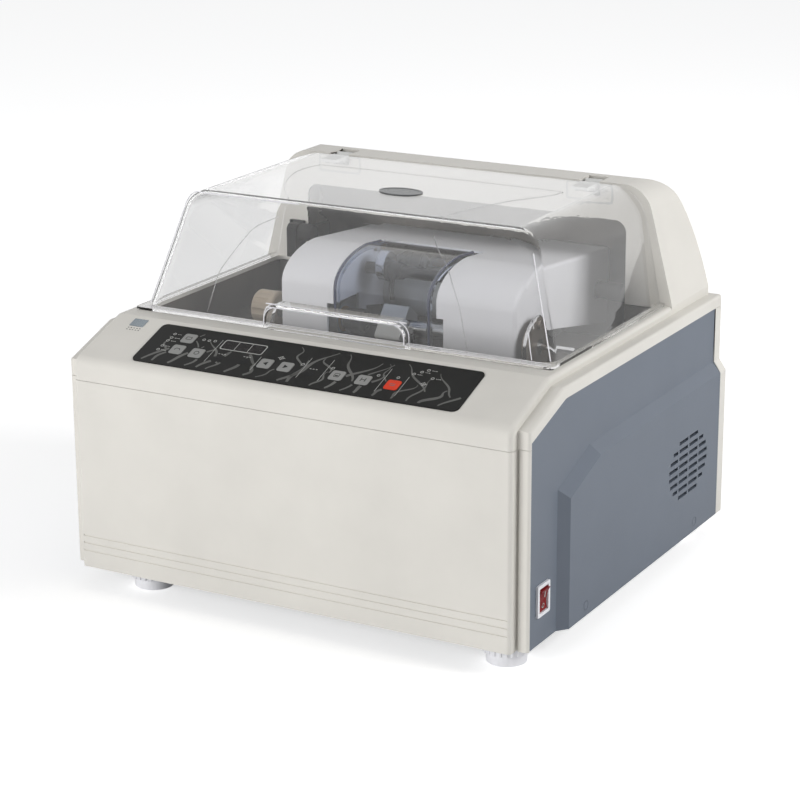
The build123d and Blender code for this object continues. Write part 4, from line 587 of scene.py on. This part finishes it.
def screw_mesh(name):
    """A pan-head screw with a cross recess, of unit radius and height."""
    mesh = lathe_mesh(name, [(0, 1), (0.55, 1), (0.85, 0.86), (1, 0.6)], 24)
    bm = bmesh.new()
    bm.from_mesh(mesh)
    for long, wide in ((0.62, 0.1), (0.1, 0.62)):
        corners = [(-long, -wide), (long, -wide), (long, wide), (-long, wide)]
        bm.faces.new([bm.verts.new((x, y, 1.02)) for x, y in corners])
    bm.to_mesh(mesh)
    bm.free()
    return mesh


# ---- pieces ----
def node_mesh(name):
    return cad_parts[name].data


def repaint(name, finish, chosen):
    """Gives the chosen faces of a CAD node a second finish; its shape stays."""
    mesh = node_mesh(name)
    mesh.materials.append(MATERIALS[finish])
    for face in mesh.polygons:
        if chosen(face):
            face.material_index = len(mesh.materials) - 1


def dress_nodes():
    for finish, nodes in NODE_FINISH.items():
        for node in nodes:
            mesh = node_mesh(node)
            if not mesh.materials:
                mesh.materials.append(MATERIALS[finish])
            for index in range(len(mesh.materials)):
                mesh.materials[index] = MATERIALS[finish]
    # black paint on the stop's bracket; its stud stays bright
    y0, z0, reach = STOP_AXIS
    axis = place(0, y0, z0)
    repaint("traverse_stop", "black",
            lambda face: math.hypot(face.center.y - axis.y, face.center.z - axis.z) * 1000 > reach)
    # the turned rim and the ground pin of the template disc
    centre = place(TEMPLATE[0], TEMPLATE[1], TEMPLATE[2])

    def ground(face):
        reach = math.hypot(face.center.y - centre.y, face.center.z - centre.z) * 1000
        return reach > TEMPLATE[3] - 1.2 or (reach < 3.0 and face.center.x > centre.x + 0.0045)
    repaint("template_disc", "chrome", ground)
    # inner faces of the mouth get painted shade
    low, high = place(-216, 351, 190), place(216, 443, 356)
    middle = (low + high) / 2

    def inner(face):
        gap = face.center - middle
        inside = all(low[k] < face.center[k] < high[k] for k in range(3))
        return inside and gap.dot(face.normal) < 0
    repaint("upper_shell", "soiled", inner)
    repaint("rear_panel", "soiled",
            lambda face: face.normal.y < -0.5 and face.center.z > low.z)


def overlay_where(lift0):
    return lambda u, v, lift: on_slope(u, v, lift0 + lift)


def overlay_prints(settings):
    """Pale ink on the control film: separators, the window's border, lamp rings and legends."""
    where, high = overlay_where(OVERLAY_LIFT), settings.ink_height * 1000
    reach = settings.ring_radius * 1000
    ink = Sheet()
    for x, s0, s1 in SEPARATORS:
        ink.stroke([(x, s0), (x, s1)], 0.45, 0.0, high, where)
    x, s, w, h = DISPLAY
    frame_on(ink, rounded(x, s, w + 3.2, h + 3.2, 2.6), rounded(x, s, w + 1.4, h + 1.4, 1.9), where,
             0.0, 0.05)
    for k in (-1, 1):
        ink.stroke([(x + k * w / 6, s - h / 2), (x + k * w / 6, s + h / 2)], 0.5, 0.1, 0.16, where)
    for x, s in LAMPS:
        frame_on(ink, circle(x, s, reach), circle(x, s, reach * 0.68), where, 0.0, high)
    rng = random.Random(7)
    for x, s in LAMPS[:5] + LAMPS[12:]:
        run = x + 3.6
        for _ in range(3):
            run_w = rng.choice((0.9, 1.3, 1.7))
            ink.stroke([(run, s), (run + run_w, s)], 0.7, 0.0, 0.04, where)
            run += run_w + 0.7
    for x, s in DARK_KEYS:
        for k in range(3):
            start = x - 4.4 + 3.2 * k
            ink.stroke([(start, s + 7.5), (start + 1.8, s + 7.5)], 0.8, 0.0, 0.04, where)
    for x, s in ((-27.5, 37.0), (126.0, 31.0)):
        ink.stroke([(x - 4, s), (x + 4, s)], 0.5, 0.0, 0.04, where)
        ink.stroke([(x, s - 3), (x, s + 3)], 0.5, 0.0, 0.04, where)
        frame_on(ink, circle(x, s, 2.4), circle(x, s, 2.0), where, 0.0, 0.05)
    ink.piece("overlay_ink", "print", "housing")


def overlay_motif(settings):
    """Grey wavy reeds across the overlay, cut by its border, keys and display."""
    where = overlay_where(OVERLAY_LIFT)
    sheet = Sheet()
    rng = random.Random(23)
    blocked = [(x, s, 8.6, 8.6) for x, s, mark in KEYS.values()]
    blocked += [(x, s, 5.5, 5.0) for x, s in DARK_KEYS]
    blocked.append((DISPLAY[0], DISPLAY[1], 24.5, 8.5))

    def free(u, v):
        inside = abs(u) < OVERLAY_HALF - 5 and 3.5 < v < OVERLAY_LEN - 3.5
        return inside and not any(abs(u - x) < w and abs(v - s) < h for x, s, w, h in blocked)

    def reed(root, low, high, slant, bend, thick, level):
        run = []
        steps = 60
        for i in range(steps + 1):
            t = i / steps
            v = low + (high - low) * t
            u = root + slant * (v - low) + bend * math.sin(2.6 * t * math.pi + root)
            if free(u, v):
                run.append((u, v, t))
            if run and (i == steps or not free(u, v)):
                if len(run) > 3:
                    widths = [thick * (0.35 + 0.65 * math.sin(math.pi * min(1, t + 0.12)))
                              for u, v, t in run]
                    sheet.stroke([(u, v) for u, v, t in run], widths, 0.0, level, where)
                run = []

    count = settings.reed_count
    for k in range(count):
        root = -172 + 344 * k / (count - 1) + rng.uniform(-6, 6)
        slant = rng.uniform(0.1, 0.9)
        reed(root, 2, rng.uniform(24, 58), slant, rng.uniform(1.0, 3.5), rng.uniform(2.0, 4.2),
             0.02)
        if k % 2:
            reed(root + rng.uniform(4, 12), rng.uniform(12, 30), rng.uniform(44, 62),
                 slant - rng.uniform(0.8, 1.6), rng.uniform(1.0, 3.0), rng.uniform(1.4, 3.0), 0.025)
    sheet.piece("overlay_reeds", "printgrey", "housing")


def dark_keys():
    """Three dark membrane keys printed on the overlay."""
    where = overlay_where(OVERLAY_LIFT)
    sheet = Sheet()
    for x, s in DARK_KEYS:
        slab_on(sheet, rounded(x, s, 8.5, 6.5, 1.6), where, 0.0, 0.12)
    sheet.piece("membrane_keys", "dark", "housing")


def key_marks():
    """One dark generic symbol on each key."""
    where = overlay_where(KEY_LIFT)
    for name, (x, s, kind) in KEYS.items():
        sheet = Sheet()
        if kind in ("left", "right"):
            k = -1 if kind == "left" else 1
            arrow = [(x + 2.6 * k, s), (x - 2.0 * k, s + 2.8 * k), (x - 2.0 * k, s - 2.8 * k)]
            slab_on(sheet, arrow, where, 0, 0.05)
        elif kind == "frame":
            frame_on(sheet, rounded(x, s, 6.5, 4.5, 1.2), rounded(x, s, 5.3, 3.3, 0.8), where, 0,
                     0.05)
        elif kind == "ring":
            frame_on(sheet, circle(x, s, 2.8), circle(x, s, 2.1), where, 0, 0.05)
        elif kind == "cap":
            cap = [(x - 3, s - 1.2), (x - 2, s + 1.4), (x + 2, s + 1.4), (x + 3, s - 1.2)]
            sheet.stroke(cap, 0.7, 0, 0.05, where)
        elif kind == "half":
            frame_on(sheet, rounded(x, s, 5.6, 5.6, 1.0), rounded(x, s, 4.4, 4.4, 0.6), where, 0,
                     0.05)
            lower = [(x - 1.6, s - 1.6), (x + 1.6, s - 1.6), (x + 1.6, s), (x - 1.6, s)]
            slab_on(sheet, lower, where, 0, 0.05)
        elif kind == "gate":
            for post in (x - 2.2, x + 2.2):
                sheet.stroke([(post, s - 2.6), (post, s + 2.6)], 0.8, 0, 0.05, where)
            sheet.stroke([(x - 1.8, s), (x + 1.8, s)], 0.8, 0, 0.05, where)
        else:
            for level in (s + 1.0, s - 1.2):
                sheet.stroke([(x - 2.8, level), (x + 2.8, level)], 0.8, 0, 0.05, where)
        finish = "dark" if name != "key_start" else "badge"
        sheet.piece(name + "_mark", finish, name + "_cap")


def lamp_lenses(settings):
    """Unlit lamp dots in the overlay."""
    dome = lathe_mesh("lamp_dome", [(0, 1.0), (0.57, 0.95), (1.0, 0.53)], 16)
    spots = [(on_slope(x, s, OVERLAY_LIFT), (SLOPE_A, 0, 0)) for x, s in LAMPS]
    scatter("overlay_lamps", dome, spots, settings.lamp_radius, LAMP_HEIGHT, "lens", "housing")


def foil_label():
    """Bare foil plate at the upper left of the slope, with a row of plain ticks below it."""
    sheet = Sheet()
    slab_on(sheet, rounded(*FOIL, 0.8), on_slope, 0.0, 0.25)
    sheet.piece("foil_plate", "foil", "housing")
    marks = Sheet()
    for row in range(2):
        for k in range(5):
            tick = rounded(-209.0 + k * 3.3, 49.0 - row * 3.0, 1.6, 1.0, 0.2)
            slab_on(marks, tick, on_slope, 0.0, 0.03)
    marks.piece("foil_ticks", "dark", "housing")


def up_hood(z, ends):
    """A measure at height z, from its values at the hood's foot and top."""
    return ends[0] + (ends[1] - ends[0]) * (z - HOOD_LOW) / (HOOD_TOP - HOOD_LOW)


def hood_face(x, z, lift):
    """A point on the hood's front face."""
    return place(x, up_hood(z, HOOD_FRONT) - lift, z)


def hood_corner(side, z):
    """A point on the rounded corner between the hood's front and a side wall."""
    return place(side * (up_hood(z, HOOD_HALF) - CORNER_IN), up_hood(z, HOOD_FRONT) + CORNER_IN, z)


def hood_trim(settings):
    """The hood's moulded relief lines, and painted highlights on its corners, edges and lip."""
    lines = [("left", [hood_face(u, v, 0.15) for u, v in RELIEF_LEFT]),
             ("right", [hood_face(u, v, 0.15) for u, v in RELIEF_RIGHT]),
             ("top", [place(x, y, HOOD_TOP + 0.1) for x, y in RELIEF_TOP])]
    for name, path in lines:
        tube_piece("hood_relief_" + name, path, settings.relief_radius, "hood", "hood_unit")
    # painted highlights: bright lines where the lamps mirror on corners, edges, face and lip
    right = [hood_corner(1, z) for z in CORNER_HEIGHTS]
    left = [hood_corner(-1, z) for z in CORNER_HEIGHTS + (346.0,)]
    left += [place(x, HOOD_FRONT[1] + 1.2, HOOD_TOP - 1.2) for x in (-178.0, -160.0, -110.0, -60.0)]
    face = [hood_face(u, v, 0.1) for u, v in ((201.5, 243.0), (199.0, 252.0), (195.2, 267.0))]
    gleams = [("corner_gleam", right, 1.3), ("edge_gleam", left, 1.3), ("face_gleam", face, 1.1)]
    for k, (y, share) in enumerate(LIP_LINES):
        lip = [place(x, y, HOOD_LOW + 2.7) for x in (-222.0, -110.0, 0.0, 110.0, 222.0)]
        gleams.append(("lip_gleam_%d" % k, lip, share))
    for name, path, share in gleams:
        tube_piece("hood_" + name, path, share * settings.relief_radius, "gleam", "hood_unit")


def grip_highlights(settings):
    """Painted highlights: a bright double line along the finger grip on the hood's front."""
    r = GRIP_CORNER
    for k, (y, half, high) in enumerate(GRIP_LINES):
        arc = [(half - r + r * math.sin(a), high - r + r * math.cos(a)) for a in
               (math.radians(90 - 15 * i) for i in range(7))]
        side = [(half, 4.0)] + arc
        line = side + [(-u, v) for u, v in reversed(side)]
        path = [place(u, y, HOOD_LOW + v) for u, v in line]
        tube_piece("grip_edge_%d" % k, path, 1.2 * settings.relief_radius, "gleam", "hood_unit")


def hood_badge(settings):
    """Bare oval plate on the hood's top."""
    long, wide = settings.badge_length * 500, settings.badge_width * 500

    def oval(inset):
        return [(BADGE_AT[0] + (long - inset) * u, BADGE_AT[1] + (wide - inset) * v)
                for u, v in circle(0, 0, 1, 48)]

    sheet = Sheet()
    where = lambda u, v, lift: place(u, v, HOOD_TOP + lift)
    slab_on(sheet, oval(2.5), where, 0.0, 0.6)
    frame_on(sheet, oval(0.0), oval(2.5), where, 0.0, 0.9)
    sheet.piece("hood_badge", "badge", "hood_unit")


def hinge_plates(settings):
    """Frames round the hood hinges on the hump's face, floors of their pockets, and screws."""
    for side, x in (("left", -HINGE_X), ("right", HINGE_X)):
        sheet = Sheet()
        where = lambda u, v, lift: place(u, 350.0 - lift, v)
        outer, inner = rounded(x, 344.0, 50, 19, 3), rounded(x, 344.0, 46, 15, 2)
        frame_on(sheet, outer, inner, where, 0.0, 0.5)
        sheet.piece("hinge_frame_" + side, "pale", "housing")
        sheet = Sheet()
        where = lambda u, v, lift: place(u, v, HINGE_POCKET_Z + lift)
        slab_on(sheet, rounded(x, 364.0, 34, 21, 2), where, 0.0, 0.7)
        sheet.piece("hinge_pocket_" + side, "ivory", "housing")
    spots = [(place(x + dx, 333.0, 348.7), (math.pi, 0, 0)) for x in (-HINGE_X, HINGE_X)
             for dx in (-5.0, 5.0)]
    scatter("hinge_screws", screw_mesh("hinge_screw"), spots, settings.screw_radius, SCREW_HEIGHT,
            "steel", "hood_unit")


def head_profile(low):
    """Side view of the head's rounded face, from a low edge up and back, as (Y, Z)."""
    cy, cz, depth, height = HEAD_ROLL
    line = [(cy - depth, low), (cy - depth, (low + cz) / 2)]
    for i in range(13):
        a = math.pi / 2 * i / 12
        line.append((cy - depth * math.cos(a), cz + height * math.sin(a)))
    return line + [(268.0, 289.4), (281.0, 288.3)]


def visor_edges():
    """The visor's edges, where its plastic gathers blue light."""
    for side, x, low in VISOR_EDGES:
        path = [place(x, y + 1.2, z - 0.4) for y, z in head_profile(low)]
        tube_piece("visor_edge_" + side, path, 0.0014, "edge", "visor")


def vent_screen():
    """A dark sheet behind the right panel's slots: painted shade of the housing's inside."""
    cy, cz, w, h = VENT
    x = FIELD_FACE - PANEL_T - 0.25
    ring = [(cy + (w / 2 + 1) * u, cz + (h / 2 + 1) * v) for u, v in circle(0, 0, 1, 48)]
    sheet = Sheet()
    where = lambda u, v, lift: place(x - lift, u, v)
    slab_on(sheet, ring, where, 0.0, 0.2)
    sheet.piece("vent_screen", "dark", "housing")


def switch_marks():
    """Generic on and off marks on the mains rocker."""
    centre, turn = place(*ROCKER_AXIS), Matrix.Rotation(ROCKER_LEAN, 3, "Y")

    def mark(along, out, across):
        return centre + turn @ (Vector((out, across, along)) / 1000)

    sheet = Sheet()
    ring = [(0.7, -3.0), (0.7, 3.0), (-0.7, 3.0), (-0.7, -3.0)]
    slab_on(sheet, ring, lambda u, v, lift: mark(5.6 + v, ROCKER_FACE + lift, u), 0.0, 0.15)
    frame_on(sheet, circle(0, -5.8, 2.4), circle(0, -5.8, 1.7),
             lambda u, v, lift: mark(v, ROCKER_FACE + lift, u), 0.0, 0.15)
    sheet.piece("rocker_marks", "print", "switch_rocker")


def stop_screws(settings):
    """Small fixing screws on the traverse stop."""
    spots = [(place(-200.5, 346.0, z), (math.pi / 2, 0, 0)) for z in (248.0, 276.0)]
    scatter("stop_screws", screw_mesh("stop_screw"), spots, settings.screw_radius * 0.9,
            SCREW_HEIGHT, "steel", "housing")


def coolant_fittings():
    """Chrome collar and two black feed tubes on the coolant bar."""
    profile = [(0, 12.0), (0, 14.0), (1.0, 15.0), (9.0, 15.0), (10.0, 14.0), (10.0, 12.0)]
    turned("coolant_collar", profile, place(*COLLAR_AT), (1, 0, 0), "chrome", "head")
    route = [place(34, 262, 266), place(36, 268, 273), place(40, 280, 276), place(46, 294, 270)]
    tube_piece("coolant_tube_right", route, 0.0032, "black", "head")
    route = [place(4, 260, 271), place(2, 268, 276), place(-4, 280, 277), place(-8, 292, 268)]
    tube_piece("coolant_tube_left", route, 0.0036, "black", "head")


def seen_directly(tree, kinds):
    """1 for the chosen kinds of ray that haven't bounced off a matt surface, so that the white
    behind the object never lights what stands under the hood."""
    rays = add(tree, "ShaderNodeLightPath", (-900, 300))
    total = rays.outputs[kinds[0]]
    for kind in kinds[1:]:
        total = add(tree, "ShaderNodeMath", (-600, 300), operation="MAXIMUM",
                    places={0: total, 1: rays.outputs[kind]}).outputs[0]
    fresh = add(tree, "ShaderNodeMath", (-600, 100), operation="LESS_THAN",
                places={0: rays.outputs["Diffuse Depth"], 1: 0.5})
    return add(tree, "ShaderNodeMath", (-300, 200), operation="MULTIPLY",
               places={0: total, 1: fresh.outputs[0]}).outputs[0]


def stage():
    """Plain pale floor, a white world behind it, and soft lamps."""
    world = bpy.data.worlds.new("studio")
    bpy.context.scene.world = world
    world.use_nodes = True
    tree = world.node_tree
    tree.nodes.clear()
    seen = seen_directly(tree, ("Is Camera Ray", "Is Glossy Ray", "Is Transmission Ray"))
    soft = add(tree, "ShaderNodeBackground", (-200, -100), Strength=ROOM_LIGHT,
               Color=linear("F4F5F7"))
    bright = add(tree, "ShaderNodeBackground", (-200, -250), Strength=1.0, Color=(1, 1, 1, 1))
    mix = add(tree, "ShaderNodeMixShader", (100, 0),
              places={0: seen, 1: soft.outputs[0], 2: bright.outputs[0]})
    add(tree, "ShaderNodeOutputWorld", (300, 0), Surface=mix.outputs[0])

    mesh = bpy.data.meshes.new("floor")
    corners = ((-1, -1), (1, -1), (1, 1), (-1, 1))
    mesh.from_pydata([(x * FLOOR_HALF, y * FLOOR_HALF, 0) for x, y in corners], [], [(0, 1, 2, 3)])
    floor = bpy.data.objects.new("floor", mesh)
    bpy.context.scene.collection.objects.link(floor)
    made, tree = new_material("studio_floor")
    coords = add(tree, "ShaderNodeTexCoord", (-800, 0)).outputs["Object"]
    patch = add(tree, "ShaderNodeTexNoise", (-600, 0), Vector=coords, Scale=0.6, Detail=3.0)
    shade = add(tree, "ShaderNodeMix", (-300, 0), data_type="RGBA", Factor=patch.outputs["Fac"],
                places={A_COLOUR: linear("F3F3F3"), B_COLOUR: linear("F8F8F8")})
    shader = add(tree, "ShaderNodeBsdfDiffuse", (0, 0), Color=shade.outputs[MIXED])
    # the floor glows more further out, where the lamps fall off, so that only the shadow shows
    reach = add(tree, "ShaderNodeVectorMath", (-600, 500), operation="LENGTH", places={0: coords})
    lit = add(tree, "ShaderNodeMapRange", (-300, 500), Value=reach.outputs["Value"], From_Min=0.5,
              From_Max=1.8, To_Min=0.53, To_Max=0.7)
    gain = add(tree, "ShaderNodeMath", (0, 300), operation="MULTIPLY", places={
        0: seen_directly(tree, ("Is Camera Ray", "Is Transmission Ray")), 1: lit.outputs["Result"]})
    lift = add(tree, "ShaderNodeEmission", (0, -200), Color=(1, 1, 1, 1), Strength=gain.outputs[0])
    finish_surface(tree, add(tree, "ShaderNodeAddShader", (300, 0),
                             places={0: shader.outputs[0], 1: lift.outputs[0]}))
    mesh.materials.append(made)

    for name, where, size, power in STUDIO:
        data = bpy.data.lights.new(name, "AREA")
        data.energy = power
        data.size = size
        lamp = bpy.data.objects.new(name, data)
        lamp.location = where
        # the clear plastic mirrors the white room, not the lamps
        lamp.visible_glossy = lamp.visible_transmission = False
        aim = Vector((0, 0, 0.18)) - Vector(where)
        lamp.rotation_euler = aim.to_track_quat("-Z", "Y").to_euler()
        bpy.context.scene.collection.objects.link(lamp)


def camera():
    data = bpy.data.cameras.new("camera")
    data.lens = CAM_LENS
    data.sensor_width = 36.0
    data.clip_start = 0.05
    made = bpy.data.objects.new("camera", data)
    forward = (CAM_TO - CAM_AT).normalized()
    right = forward.cross(Vector((0, 0, 1))).normalized()
    up = right.cross(forward)
    turned_right = right * math.cos(CAM_ROLL) + up * math.sin(CAM_ROLL)
    turned_up = up * math.cos(CAM_ROLL) - right * math.sin(CAM_ROLL)
    axes = Matrix((turned_right, turned_up, -forward)).transposed()
    made.matrix_world = Matrix.Translation(CAM_AT) @ axes.to_4x4()
    bpy.context.scene.collection.objects.link(made)
    bpy.context.scene.camera = made
    bpy.context.scene.view_settings.view_transform = "Standard"


# ---- add-on ----
def colour(name, description, code):
    """A colour setting with its default as sRGB hex."""
    return bpy.props.FloatVectorProperty(name=name, description=description, subtype="COLOR",
                                         size=3, min=0.0, max=1.0, default=linear(code)[:3])


def length(name, description, default, low, high):
    """A length setting in metres."""
    return bpy.props.FloatProperty(name=name, description=description, default=default, min=low,
                                   max=high, unit="LENGTH")


class EdgerSettings(bpy.types.PropertyGroup):
    """Sizes and colours that a user may change before running the operators."""
    housing: colour("Housing", "Colour of the moulded case", "E4E1DA")
    panels: colour("Side panels", "Colour of the enamelled side panels", "6C7480")
    film: colour("Film", "Colour of the control film", "1D1D1C")
    keys: colour("Keys", "Colour of the plain keys", "989896")
    start_key: colour("Start key", "Colour of the start key", "E0452C")
    ink_height: length("Ink height", "Height of the ink on the film", 0.00004, 0.00001, 0.0005)
    ring_radius: length("Lamp ring", "Outer radius of the ring at each lamp", 0.0017, 0.001, 0.003)
    lamp_radius: length("Lamp", "Radius of each lamp's lens", 0.0010, 0.0004, 0.002)
    screw_radius: length("Screw head", "Radius of the small screw heads", 0.0022, 0.001, 0.004)
    badge_length: length("Plate length", "Length of the oval plate on the hood", 0.046, 0.02, 0.08)
    badge_width: length("Plate width", "Width of the oval plate on the hood", 0.030, 0.01, 0.05)
    relief_radius: length("Hood lines", "Radius of the hood's fine lines", 0.00045, 0.0002, 0.001)
    reed_count: bpy.props.IntProperty(
        name="Reeds", description="Number of reeds on the control film", default=21, min=5, max=40)


class EDGER_OT_finishes(bpy.types.Operator):
    """Makes the materials and puts them on the CAD nodes"""
    bl_idname = "edger.finishes"
    bl_label = "Finishes"

    def execute(self, context):
        make_materials(context.scene.edger)
        dress_nodes()
        return {"FINISHED"}


class EDGER_OT_overlay(bpy.types.Operator):
    """Adds the inks, reeds, lamps and dark keys of the control film"""
    bl_idname = "edger.overlay"
    bl_label = "Control film"

    def execute(self, context):
        settings = context.scene.edger
        overlay_prints(settings)
        overlay_motif(settings)
        dark_keys()
        lamp_lenses(settings)
        return {"FINISHED"}


class EDGER_OT_key_marks(bpy.types.Operator):
    """Adds the symbols on the keys"""
    bl_idname = "edger.key_marks"
    bl_label = "Key marks"

    def execute(self, context):
        key_marks()
        return {"FINISHED"}


class EDGER_OT_foil(bpy.types.Operator):
    """Adds the bare foil plate on the slope"""
    bl_idname = "edger.foil"
    bl_label = "Foil plate"

    def execute(self, context):
        foil_label()
        return {"FINISHED"}


class EDGER_OT_hood(bpy.types.Operator):
    """Adds the hood's fine lines, its painted highlights and the oval plate"""
    bl_idname = "edger.hood"
    bl_label = "Hood trim"

    def execute(self, context):
        settings = context.scene.edger
        hood_trim(settings)
        grip_highlights(settings)
        hood_badge(settings)
        return {"FINISHED"}


class EDGER_OT_hinges(bpy.types.Operator):
    """Adds the frames, pocket floors and screws of the hood hinges"""
    bl_idname = "edger.hinges"
    bl_label = "Hinges"

    def execute(self, context):
        hinge_plates(context.scene.edger)
        return {"FINISHED"}


class EDGER_OT_visor(bpy.types.Operator):
    """Adds the tinted edges of the lens visor"""
    bl_idname = "edger.visor"
    bl_label = "Visor edges"

    def execute(self, context):
        visor_edges()
        return {"FINISHED"}


class EDGER_OT_vent(bpy.types.Operator):
    """Adds the dark sheet behind the vent, as painted shade"""
    bl_idname = "edger.vent"
    bl_label = "Vent shade"

    def execute(self, context):
        vent_screen()
        return {"FINISHED"}


class EDGER_OT_switch(bpy.types.Operator):
    """Adds the on and off marks on the mains rocker"""
    bl_idname = "edger.switch"
    bl_label = "Switch marks"

    def execute(self, context):
        switch_marks()
        return {"FINISHED"}


class EDGER_OT_screws(bpy.types.Operator):
    """Adds the small screws of the traverse stop"""
    bl_idname = "edger.screws"
    bl_label = "Screws"

    def execute(self, context):
        stop_screws(context.scene.edger)
        return {"FINISHED"}


class EDGER_OT_coolant(bpy.types.Operator):
    """Adds the collar and the feed tubes of the coolant bar"""
    bl_idname = "edger.coolant"
    bl_label = "Coolant fittings"

    def execute(self, context):
        coolant_fittings()
        return {"FINISHED"}


class EDGER_OT_stage(bpy.types.Operator):
    """Adds the floor, the lamps and the camera"""
    bl_idname = "edger.stage"
    bl_label = "Stage"

    def execute(self, context):
        stage()
        camera()
        return {"FINISHED"}


OPERATORS = (EDGER_OT_finishes, EDGER_OT_overlay, EDGER_OT_key_marks, EDGER_OT_foil, EDGER_OT_hood,
             EDGER_OT_hinges, EDGER_OT_visor, EDGER_OT_vent, EDGER_OT_switch, EDGER_OT_screws,
             EDGER_OT_coolant, EDGER_OT_stage)


class EDGER_PT_panel(bpy.types.Panel):
    """The settings and the dressing steps in the sidebar"""
    bl_idname = "EDGER_PT_panel"
    bl_label = "Lens edger"
    bl_space_type = "VIEW_3D"
    bl_region_type = "UI"
    bl_category = "Edger"

    def draw(self, context):
        for name in EdgerSettings.__annotations__:
            self.layout.prop(context.scene.edger, name)
        for item in OPERATORS:
            self.layout.operator(item.bl_idname)


def register():
    bpy.utils.register_class(EdgerSettings)
    for item in OPERATORS:
        bpy.utils.register_class(item)
    bpy.utils.register_class(EDGER_PT_panel)
    bpy.types.Scene.edger = bpy.props.PointerProperty(type=EdgerSettings)


def unregister():
    del bpy.types.Scene.edger
    bpy.utils.unregister_class(EDGER_PT_panel)
    for item in reversed(OPERATORS):
        bpy.utils.unregister_class(item)
    bpy.utils.unregister_class(EdgerSettings)


def main():
    register()
    for item in OPERATORS:
        group, name = item.bl_idname.split(".")
        getattr(getattr(bpy.ops, group), name)()


if __name__ == "__main__":
    main()
